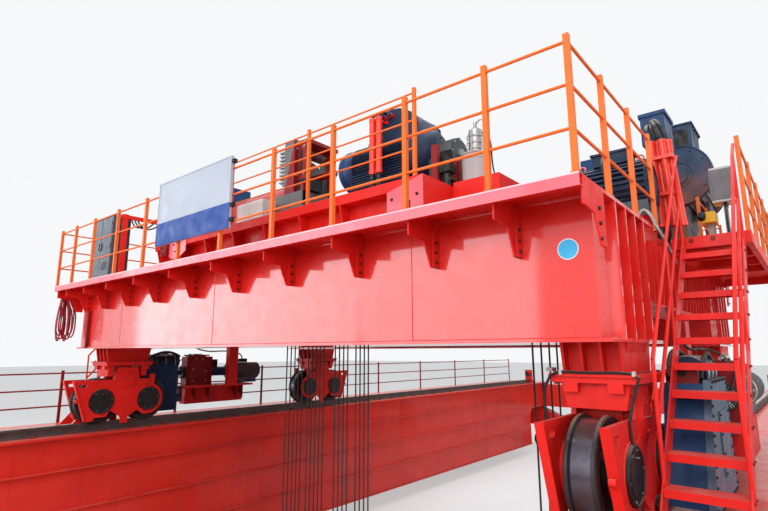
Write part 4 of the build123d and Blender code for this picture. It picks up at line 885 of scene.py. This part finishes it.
def add_front_motor():
    """Front hoist motor: fins all round, brake cover, bell, ribbed foot and round-topped box."""
    body = Shape("front_motor_body", "navy", replaced="front_motor")
    cover, dark = Shape("front_motor_cover", "blue"), Shape("front_motor_louvres", "rubber")
    bright, glands = Shape("front_motor_eyes", "bolt"), Shape("front_motor_glands", "red")
    x, z = -5.6, 7.40
    fins, root, tip = 60, 0.300, 0.338

    def at(y):
        return Vector((x, y, z))

    teeth = []
    for i in range(fins):
        for turn, radius in ((-0.32, root), (-0.16, root), (-0.12, tip), (0.12, tip), (0.16, root)):
            angle = 2 * math.pi * (i + turn) / fins
            teeth.append((x + radius * math.cos(angle), -2.28, z + radius * math.sin(angle)))
    body.plate(teeth, 1.03 * Y)
    body.rod(at(-2.30), 0.06 * Y, 0.345, 56)
    body.rod(at(-1.28), 0.07 * Y, 0.342, 56)
    bell = [at(-2.28 - step) for step in (0.0, 0.17, 0.20, 0.27, 0.32, 0.35)]
    body.sweep(bell, (0.345, 0.345, 0.329, 0.295, 0.255, 0.213), 56)
    body.ring(at(-2.45), Y, 0.341, 0.011, 56)
    body.ring(at(-2.60), Y, 0.237, 0.011, 48)
    body.bolt_ring(at(-2.30), -Y, 0.36, 12, 0.016)
    body.bolt_ring(at(-2.625), -Y, 0.17, 8, 0.014)
    body.box((x - 0.28, -2.28, raised_z), (x + 0.28, -1.22, 7.27))
    for i in range(13):
        level = raised_z + 0.04 + 0.04 * i
        body.box((x - 0.31, -2.27, level), (x + 0.31, -1.23, level + 0.014))

    # Cable box with a rim at each end
    lid = (
        (-1.66, 7.62), (-1.665, 7.95), (-1.70, 8.0), (-1.78, 8.04), (-1.90, 8.065), (-2.02, 8.07),
        (-2.14, 8.05), (-2.25, 8.0), (-2.35, 7.93), (-2.44, 7.83), (-2.46, 7.62),
    )
    body.plate([(x - 0.27, y, level) for y, level in lid], 0.54 * X)
    for edge in (-0.282, 0.27):
        rim = [(x + edge, (y + 2.05) * 1.03 - 2.05, (level - 7.9) * 1.04 + 7.9) for y, level in lid]
        body.plate(rim, 0.012 * X)

    cover.sweep([at(y) for y in (-1.23, -1.04, -0.99, -0.98)], (0.336, 0.336, 0.316, 0.283), 56)
    cover.ring(at(-1.08), Y, 0.337, 0.008, 56)
    for radius in (0.1, 0.15, 0.2, 0.24):
        dark.ring(at(-0.977), Y, radius, 0.007, 40)
    for y in (-1.36, -1.56):
        bright.rod(at(y) + 0.32 * Z, 0.04 * Z, 0.02, 10)
        bright.ring(at(y) + 0.395 * Z, X, 0.036, 0.011, 20, 8)
    for k in range(3):
        y, level = -1.80 - 0.11 * k, 7.95 + 0.01 * k
        glands.rod((x - 0.28, y, level), -0.06 * X, 0.033, 14)
        cover.rod((x - 0.33, y, level), -0.05 * X, 0.025)
    glands.bar((x - 0.29, -1.95, 7.88), (x - 0.34, -1.75, 7.98), 0.02, 10)
    make(body, cover, dark, bright, glands)


def add_front_brake_details():
    """Upright, release levers and bolts at the front brake, and the caliper beyond the motor."""
    frames, dark = Shape("front_brake_frames", "deep_red"), Shape("front_brake_levers", "rubber")
    bright = Shape("front_brake_bolts", "wire")
    frames.box((-6.04, -2.86, raised_z), (-5.98, -2.77, 7.28))
    frames.box((-5.75, -3.01, raised_z), (-5.6, -2.98, 7.16))
    outline = ((-5.9, 6.75), (-5.9, 7.0), (-5.62, 7.2), (-5.5, 7.2), (-5.5, 6.75))
    frames.plate([(x, -2.99, z) for x, z in outline], 0.02 * Y)
    dark.box((-6.02, -3.02, 6.90), (-5.86, -2.86, 6.99))
    dark.rod((-5.94, -2.94, 6.72), 0.2 * Z, 0.05, 14)
    dark.rod((-6.0, -3.0, 6.80), 0.12 * X, 0.025, 10)
    dark.rod((-5.97, -2.99, 6.64), 0.16 * Z, 0.02, 8)
    bright.bolt_ring((-5.6, -2.93, 7.26), -Y, 0.19, 8, 0.014)
    bright.rod((-5.6, -2.93, 7.26), -0.04 * Y, 0.06, 20)

    # Caliper: ribbed upright, frame, spring coils, rods
    for i in range(9):
        z = 7.46 + 0.065 * i
        bright.box((-5.97, 0.06, z), (-5.62, 0.36, z + 0.03))
    bright.box((-5.93, 0.09, 7.42), (-5.66, 0.33, 8.02))
    frames.box((-5.98, -0.36, 7.42), (-5.90, -0.06, 8.02))
    frames.box((-5.98, -0.36, 8.02), (-5.3, -0.06, 8.08))
    frames.box((-6.03, -0.33, 6.98), (-5.97, -0.26, 7.34))
    dark.box((-5.98, -0.38, 7.22), (-5.66, -0.10, 7.42))
    dark.rod((-5.98, -0.2, 7.5), 0.4 * Z, 0.03, 10)
    for i in range(12):
        bright.ring((-5.86 + 0.045 * i, 0.0, 8.01), X, 0.1, 0.013)
    bright.rod((-6.0, 0, 8.01), 0.8 * X, 0.025, 10)
    for z in (7.5, 7.95, 8.05):
        for y in (-0.12, -0.3):
            bright.bolt((-5.99, y, z), -X, 0.022)
    make(frames, dark, bright)


def add_grease_pump_details():
    """Rims, bail, cage wires and hoses of the grease pail and its pump."""
    rim, wire = Shape("pail_rims", "cream"), Shape("pump_cage", "wire")
    hose = Shape("pump_hose", "rubber")

    def at(x, y, z):
        return Vector((-5.75 + x, -3.25 + y, z))

    for z, radius, thick in ((7.105, 0.18, 0.011), (7.03, 0.178, 0.005), (6.76, 0.176, 0.007)):
        rim.ring(at(0, 0, z), Z, radius, thick, 40)
    for i in range(10):
        turn = 2 * math.pi * i / 10
        out = Vector((math.cos(turn), math.sin(turn), 0))
        base = at(0, 0, 7.12) + out * 0.108
        wire.tube([base, base + 0.24 * Z, base - out * 0.04 + 0.33 * Z, at(0, 0, 7.49)], 0.005, 6)
    for z in (7.18, 7.26, 7.35):
        wire.ring(at(0, 0, z), Z, 0.108, 0.006, 28)
    wire.rod(at(0, 0, 7.44), 0.12 * Z, 0.022)
    wire.bend(at(-0.03, -0.02, 7.5), at(-0.05, -0.18, 7.68), at(-0.02, -0.15, 7.25), 0.009)
    wire.bend(at(-0.17, 0, 7.0), at(-0.24, -0.02, 6.62), at(0.02, -0.19, 7.0), 0.005, 14, 6)
    hose.bend(at(0.02, -0.06, 7.40), at(0.03, -0.2, 7.42), at(0.03, -0.2, 7.1), 0.01)
    hose.bend(at(0.03, -0.2, 7.1), at(0.03, -0.2, 6.8), at(0.2, -0.22, 6.72), 0.01, 10)
    make(rim, wire, hose)


def add_end_box_holes():
    """Bolts, and a thin dark sheet as painted shade for a square hole, in the end box of the raised beam."""
    dark = Shape("end_box_holes", "rubber")
    for y, z in ((-2.575, 6.473), (-2.945, 6.477)):
        dark.bolt((-6.6, y, z), -X, 0.016)
    # Thin dark sheet: painted shade standing for the square hole
    dark.box((-6.603, -2.85, 6.33), (-6.598, -2.77, 6.42))
    dark.make()


def add_rear_motor_details():
    """Open cable box, its mouth a thin dark sheet of painted shade, rings, eyebolts and cover bolts of the
    rear motor.
    """
    body, dark = Shape("rear_motor_rings", "rusty_navy"), Shape("rear_motor_box_mouth_shade", "rubber")
    bright = Shape("rear_motor_eyes", "bolt")

    def at(x, rise=0.0):
        return Vector((x, -4.8, 7.53 + rise))

    for x in (-1.9, -1.78, -0.52, -0.4):
        body.ring(at(x), X, 0.5, 0.014, 48)
    for x, out in ((-1.9, -1), (-0.4, 1)):
        body.bolt_ring(at(x), out * X, 0.44, 12, 0.02, 0.26)
        body.ring(at(x + out * 0.002), X, 0.22, 0.012, 40)
        body.rod(at(x), out * 0.03 * X, 0.16, 32)
    # Thin dark sheet across the open cable box: painted shade inside its mouth
    dark.box((-1.905, -5.02, 7.98), (-1.895, -4.6, 8.3))
    for x in (-1.6, -0.7):
        bright.rod(at(x, 0.44), 0.05 * Z, 0.022, 10)
        bright.ring(at(x, 0.53), Y, 0.042, 0.012, 20, 8)
    bright.bolts((-1.86, -5.075, 8.34), (-1.18, -5.075, 8.34), 5, -Y, 0.012)
    body.box((-1.93, -5.10, 8.37), (-1.11, -4.50, 8.395))
    body.box((-1.2, -5.12, 6.2), (-0.7, -5.02, 7.2))
    make(body, dark, bright)


def add_side_motor_details():
    """Rings, screws, eyebolts, terminal box and hose of the side motor."""
    body, bright = Shape("side_motor_rings", "navy"), Shape("side_motor_screws", "bolt")
    hose, eyes = Shape("side_motor_hose", "rubber"), Shape("side_motor_eyes", "pink")

    def at(x, y, rise):
        return Vector((-4.95 + x, y, 6.55 + rise))

    for y in (-5.03, -4.18):
        body.ring(at(0, y, 0), Y, 0.305, 0.013, 40)
    body.bolt_ring(at(0, -5.035, 0), -Y, 0.26, 8, 0.016)
    body.rod(at(0, -5.03, 0), -0.03 * Y, 0.13, 28)
    body.block(at(0, -4.65, 0.355), (0.16, 0.2, 0.065))
    body.block(at(0, -4.65, 0.4325), (0.18, 0.22, 0.0125))
    bright.bolts(at(-0.16, -4.85, 0.445), at(-0.16, -4.45, 0.445), 3, Z, 0.012)
    for y in (-4.28, -4.94):
        eyes.ring(at(0, y, 0.345), X, 0.035, 0.01, 20, 8)
    hose.bend(at(-0.16, -4.6, 0.35), at(-0.5, -4.6, 0.4), at(-0.42, -4.75, -0.55), 0.022, 14, 10)
    make(body, bright, hose, eyes)


def add_gearbox_details():
    """Lip bolts, inspection lids, bearing caps and breathers of the two hoist gearboxes."""
    parts, bolts = Shape("gearbox_caps", "blue"), Shape("gearbox_bolts", "bolt")
    for low_x, high_x, low_y, high_y, top, lip in (
        (-5.95, -5.25, 2.15, 3.0, 7.85, 7.38),
        (-2.3, -0.9, -4.15, -3.4, 8.0, 7.56),
    ):
        count = round((high_x - low_x) / 0.16)
        for y in (low_y - 0.03, high_y + 0.03):
            bolts.bolts((low_x, y, lip), (high_x, y, lip), count, Z, 0.018)
        parts.box((low_x + 0.15, low_y + 0.15, top), (high_x - 0.15, high_y - 0.15, top + 0.03))
        for y in (low_y + 0.18, high_y - 0.18):
            bolts.bolts((low_x + 0.18, y, top + 0.03), (high_x - 0.18, y, top + 0.03), 4, Z, 0.012)
        parts.rod(((low_x + high_x) / 2, low_y + 0.25, top), 0.12 * Z, 0.03, 14)
    for x, y, z, depth, radius, size in (
        (-5.6, 2.15, 7.35, 0.06, 0.2, 0.016),
        (-1.95, -4.15, 7.53, 0.05, 0.19, 0.015),
        (-1.3, -4.15, 7.53, 0.05, 0.19, 0.015),
    ):
        parts.rod((x, y, z), -depth * Y, radius, 36)
        bolts.bolt_ring((x, y - depth, z), -Y, radius - 0.035, 8, size)
    make(parts, bolts)


def add_cabinet_details():
    """Door seams, handles, hinges and louvres of the cabinet, and the cables at the portal's top."""
    dark, bright = Shape("cabinet_seams", "rubber"), Shape("cabinet_handles", "bolt")
    hose = Shape("portal_cables", "rubber")
    x, low, high = -7.2, 6.10, 7.24
    for y in (3.72, 4.14, 4.56):
        dark.box((x - 0.002, y - 0.004, low), (x + 0.001, y + 0.004, high))
    for z in (low, high - 0.005):
        dark.box((x - 0.002, 3.72, z - 0.004), (x + 0.001, 4.56, z + 0.004))
    for y in (4.08, 4.17):
        bright.box((x - 0.03, y, 6.62), (x, y + 0.03, 6.76))
    for y in (3.73, 4.55):
        for z in (6.25, 6.67, 7.1):
            bright.rod((x - 0.008, y, z - 0.04), 0.08 * Z, 0.009, 8)
    for i in range(5):
        dark.box((x - 0.004, 3.82, 6.24 + 0.03 * i), (x, 4.04, 6.252 + 0.03 * i))
    for i in range(3):
        start, end = (-6.9 + 0.06 * i, 3.6, 7.19), (-6.6 + 0.12 * i, 3.6, 7.19)
        hose.bend(start, (-6.8 + 0.1 * i, 3.62, 6.95), end, 0.014)
    make(dark, bright, hose)


def add_portal():
    """The cable portal, turned as in the photograph: a post beside the cabinet and a bar to the back."""
    portal = Shape("portal_frame", "red", replaced="cable_portal")
    for x, inward in ((-7.02, 0.12), (-6.14, -0.12)):
        portal.box((x - 0.04, 3.56, deck_z), (x + 0.04, 3.64, 7.28))
        portal.box((x - 0.08, 3.52, deck_z), (x + 0.08, 3.68, deck_z + 0.015))
        portal.plate([(x, 3.596, 7.12), (x + inward, 3.596, 7.21), (x, 3.596, 7.21)], 0.008 * Y)
    portal.box((-7.10, 3.57, 7.20), (-6.06, 3.63, 7.27))
    portal.make()


def add_far_end_plate():
    """Pink plate with its bolts on the far end of the raised beam, and cable loops beside it."""
    plate, holes = Shape("far_end_plate", "pink"), Shape("far_end_holes", "rubber")
    loops = Shape("portal_cable_loops", "deep_red")
    outline = ((2.06, 6.69), (2.65, 6.69), (2.62, 6.40), (2.5, 6.34), (2.3, 6.34), (2.06, 6.45))
    # The plate's pink is the painted sheen of faces toward the windows
    plate.plate([(-6.601, y, z) for y, z in outline], -0.012 * X)
    for y, z in ((2.48, 6.6), (2.3, 6.6), (2.4, 6.47)):
        holes.bolt((-6.613, y, z), -X, 0.014)
    hook_x, hook_z = -6.64, 6.72
    for i in range(6):
        y, low = 2.68 + 0.035 * i, 6.42 + 0.03 * ((i * 3) % 4)
        start, end = (hook_x, y - 0.05, hook_z), (hook_x, y + 0.07, hook_z)
        loops.bend(start, (-6.66, y, low * 2 - hook_z), end, 0.012, 12, 6)
    loops.rod((-6.62, 2.6, 6.71), 0.35 * Y, 0.02, 10)
    make(plate, holes, loops)


def add_sign_details():
    """Blue lower field, rim, clamps and stays of the bare sign board."""
    field, rim = Shape("sign_lower_field", "sign_blue"), Shape("sign_rim", "sign_face")
    stays, clamps = Shape("sign_stays", "orange"), Shape("sign_clamps", "rubber")
    field.box((-7.639, -0.787, 6.223), (-7.631, 1.067, 6.553))
    for y in (-0.784, 1.045):
        rim.box((-7.636, y, 6.226), (-7.598, y + 0.019, 7.174))
    for z in (6.225, 7.157):
        rim.box((-7.635, -0.766, z), (-7.597, 1.046, z + 0.018))
    for z in (6.31, 6.50, 7.08):
        clamps.box((-7.625, -0.835, z), (-7.575, -0.785, z + 0.045))
        clamps.rod((-7.60, -0.81, z - 0.015), 0.075 * Z, 0.009, 8)
    for y in (-0.5, 0.75):
        for z in (6.32, 6.67, 7.02):
            stays.box((-7.602, y - 0.02, z - 0.02), (-7.56, y + 0.02, z + 0.02))
    make(clamps, field, rim, stays)


def add_landing_device_details():
    """Lid, glands and cables of the grey box, rollers of the yellow switch."""
    lid, dark = Shape("grey_box_lid", "grey"), Shape("switch_rollers", "rubber")
    hose = Shape("grey_box_cables", "rubber")
    lid.box((-2.86, -5.64, 6.78), (-2.855, -5.34, 7.22))
    for i in range(4):
        x = -2.78 + 0.05 * i
        dark.rod((x, -5.5, 6.70), 0.055 * Z, 0.018, 10)
        hose.bend((x, -5.5, 6.71), (-2.8, -5.48, 6.4), (-2.72 + 0.03 * i, -5.52, 6.0), 0.011, 10, 6)
    dark.bar((-2.86, -5.2, 6.55), (-2.95, -5.22, 6.58), 0.05, 18)
    dark.rod((-2.53, -5.28, 6.55), 0.05 * X, 0.06, 18)
    make(lid, dark, hose)


def add_saddle_cable():
    """Black cable clipped along the flange of the near front saddle."""
    hose, clips = Shape("saddle_cable", "rubber"), Shape("saddle_clips", "clip")
    path = [
        (-6.8, -4.42, 4.40), (-6.8, -4.47, 4.50), (-6.795, -4.55, 4.53), (-6.79, -4.8, 4.525),
        (-6.79, -5.0, 4.53), (-6.79, -5.12, 4.525), (-6.78, -5.17, 4.49), (-6.78, -5.14, 4.40),
        (-6.78, -5.10, 4.27), (-6.78, -5.075, 4.15), (-6.775, -5.08, 4.02), (-6.77, -5.09, 3.93),
    ]
    hose.tube(path, 0.012)
    hose.bend(path[0], (-6.82, -4.38, 4.1), (-6.72, -4.5, 4.0), 0.012, 10)
    for y in (-4.56, -5.14):
        clips.box((-6.808, y - 0.012, 4.505), (-6.78, y + 0.012, 4.542))
    clips.box((-6.4, -4.33, 4.515), (-6.3, -4.27, 4.55))
    make(hose, clips)


def split_wheels_and_caps():
    """Bright treads on the trolley wheels, and black axle caps on the bogies."""
    for side, y in (("far", rail_y), ("near", -rail_y)):
        for end, x in (("front", bogie_xs[0]), ("rear", bogie_xs[1])):
            for word, step in (("a", -wheel_step), ("b", wheel_step)):

                def on_tread(c, n):
                    away = math.hypot(c.x - x - step, c.z - axle_z)
                    return away > 0.385 and abs(n.y) < 0.3 and abs(c.y - y) < 0.074

                recolour(nodes[f"{side}_{end}_wheel_{word}"], "tread", on_tread)

            def on_cap(c, n):
                near_axle = min(math.hypot(c.x - x - s, c.z - axle_z) for s in both(wheel_step))
                return near_axle < 0.233 and abs(c.y - y) > bogie_face + 0.001

            recolour(nodes[f"{side}_{end}_bogie"], "black", on_cap)


def split_drives():
    """Lid, shaft cover, brake, motor and table of the travel drives."""
    for side in ("far", "near"):
        for key, test in (
            # The lid's paler blue-grey is partly its paint and partly a painted sheen
            ("drive_lid", lambda c, n: c.x < -4.8 and 5.435 < abs(c.y) < 5.51 and c.z < 4.46),
            ("navy", lambda c, n: c.x < -4.85 and c.z > 4.44),
            ("deep_red", lambda c, n: -4.59 < c.x < -3.89 and abs(c.y) > 5.3 and c.z > 3.94),
            ("grey", lambda c, n: -3.45 < c.x < -2.4 and math.hypot(abs(c.y) - 5.44, c.z - 4.23) < 0.26),
            ("red", lambda c, n: c.x > -4.85 and c.z < 3.935),
            ("red", lambda c, n: -3.75 < c.x < -3.4 and abs(c.y) < 5.2 and c.z > 3.935),
        ):
            recolour(nodes[f"{side}_travel_drive"], key, test)


def on_rear_barrel(c, n):
    """Faces round the rear motor between its end rings."""
    return abs(c.y + 4.8) < 0.5 and abs(n.x) < 0.4 and c.z < 7.98 and -1.77 < c.x < -0.53


def on_buffer(c, n):
    """Faces of the round buffers on the rail stops."""
    return math.hypot(abs(c.y) - rail_y, c.z - 3.625) < 0.112 and abs(c.x) < 12.96


def split_machines():
    """Second finishes on the machines and fittings, by the place of each face."""
    for name, key, test in (
        # The end box's face toward the windows takes the pink painted sheen
        ("raised_beam", "pink", lambda c, n: n.x < -0.9 and c.x < -6.59 and c.y < -2.495 and c.z < 6.71),
        ("front_gearbox", "navy", lambda c, n: c.z < 6.9),
        ("hoist_brakes", "black", lambda c, n: c.x < -5.75 and c.y < -2.0),
        ("hoist_brakes", "grey", lambda c, n: c.x < -5.1 and c.y > -0.5),
        ("hoist_brakes", "deep_red", lambda c, n: c.x < -5.1 and -0.5 < c.y < -0.03 and c.z > 7.2),
        ("side_motor", "slate", lambda c, n: c.z < 6.335),
        ("side_motor", "red", lambda c, n: c.z < 6.152),
        ("landing_devices", "grey_box", lambda c, n: c.y < -5.33 and c.z > 6.745),
        ("landing_devices", "yellow", lambda c, n: c.y > -5.4 and c.z > 6.475),
        ("grease_pump", "wire", lambda c, n: c.z > 7.115),
        ("rear_motor", "grey", on_rear_barrel),
        ("trolley_rails", "rail_head", lambda c, n: n.z > 0.9 and c.z > 3.36),
        ("rail_stops", "rubber", on_buffer),
        ("control_cabinet", "slate", lambda c, n: c.z < 6.065 or n.y < -0.9),
    ):
        recolour(nodes[name], key, test)


def add_lamp(name, place, target, size, power, colour=(1, 1, 1)):
    lamp = bpy.data.lights.new(name, "AREA")
    lamp.shape = "SQUARE"
    lamp.size = size
    lamp.energy = power
    lamp.color = colour
    holder = bpy.data.objects.new(name, lamp)
    bpy.context.scene.collection.objects.link(holder)
    holder.location = place
    holder.rotation_mode = "QUATERNION"
    holder.rotation_quaternion = (Vector(target) - Vector(place)).to_track_quat("-Z", "Y")


def add_light():
    """Soft studio light, and a paler surround for camera, mirror and glass rays."""
    world = bpy.data.worlds.new("surround")
    bpy.context.scene.world = world
    graph = Graph(world)
    graph.tree.nodes.clear()
    rays = graph.add("ShaderNodeLightPath").outputs
    either = graph.maths("MAXIMUM", rays["Is Camera Ray"], rays["Is Glossy Ray"])
    any_ray = graph.maths("MAXIMUM", either, rays["Is Transmission Ray"])
    light = graph.add("ShaderNodeBackground", {"Color": (0.95, 0.97, 1, 1), "Strength": 0.5})
    seen = graph.add("ShaderNodeBackground", {"Color": (0.93, 0.94, 0.95, 1), "Strength": 1.0})
    mix = graph.add("ShaderNodeMixShader")
    out = graph.add("ShaderNodeOutputWorld")
    graph.join(any_ray, mix.inputs["Fac"])
    graph.join(light.outputs["Background"], mix.inputs[1])
    graph.join(seen.outputs["Background"], mix.inputs[2])
    graph.join(mix.outputs["Shader"], out.inputs["Surface"])
    add_lamp("key", (-22, -8, 12), (-5, -1, 5), 14, 3500)
    add_lamp("top", (-2, 0, 22), (-2, 0, 5), 24, 4400)
    add_lamp("side", (0, -24, 9), (0, -4, 4), 12, 1500)
    add_lamp("window", (-25, 24, 8), (-7, 0, 5), 15, 2700, (0.93, 0.97, 1.0))
    add_lamp("low_window", (-25, 8, 8), (-7, -2, 5), 9, 800, (0.95, 0.97, 1.0))


def add_floor():
    """Plain pale floor, just under the runway wheels, lightened for the camera."""
    bpy.ops.mesh.primitive_plane_add(size=400, location=(0, 0, -0.004))
    floor = bpy.context.object
    floor.name = "floor"
    finish = Finish("floor")
    finish.colour(finish.blend((0.70, 0.71, 0.72), (0.78, 0.79, 0.80), finish.noise(0.4, 4)))
    put(finish.shader, {"Roughness": 0.8})
    glow = finish.add("ShaderNodeEmission", {"Color": (0.90, 0.91, 0.92, 1)})
    mix = finish.add("ShaderNodeMixShader")
    seen = finish.add("ShaderNodeLightPath").outputs["Is Camera Ray"]
    finish.join(finish.times(seen, 0.5), mix.inputs["Fac"])
    finish.join(finish.shader.outputs["BSDF"], mix.inputs[1])
    finish.join(glow.outputs["Emission"], mix.inputs[2])
    finish.join(mix.outputs["Shader"], finish.tree.nodes["Material Output"].inputs["Surface"])
    floor.data.materials.append(finish.material)


add_camera()
dress_nodes()
split_wheels_and_caps()
split_drives()
split_machines()
for node in nodes.values():
    smooth(node.data, 28)
add_bracket_bolts()
add_sticker()
add_beam_welds()
add_far_bracket_bar()
add_cable_hanks()
add_platforms()
add_railing_collars()
add_railings()
add_rail_clips()
add_girder_seams()
add_saddle_bolts()
add_bogie_details()
add_runway_details()
add_drive_details(1, "far")
add_drive_details(-1, "near")
add_sill_ribs()
add_stair_bolts()
add_second_cable_box()
add_conduits()
add_grey_hose()
add_front_motor()
add_front_brake_details()
add_grease_pump_details()
add_end_box_holes()
add_rear_motor_details()
add_side_motor_details()
add_gearbox_details()
add_cabinet_details()
add_portal()
add_far_end_plate()
add_sign_details()
add_landing_device_details()
add_saddle_cable()
add_light()
add_floor()
bpy.context.scene.view_settings.view_transform = "Standard"
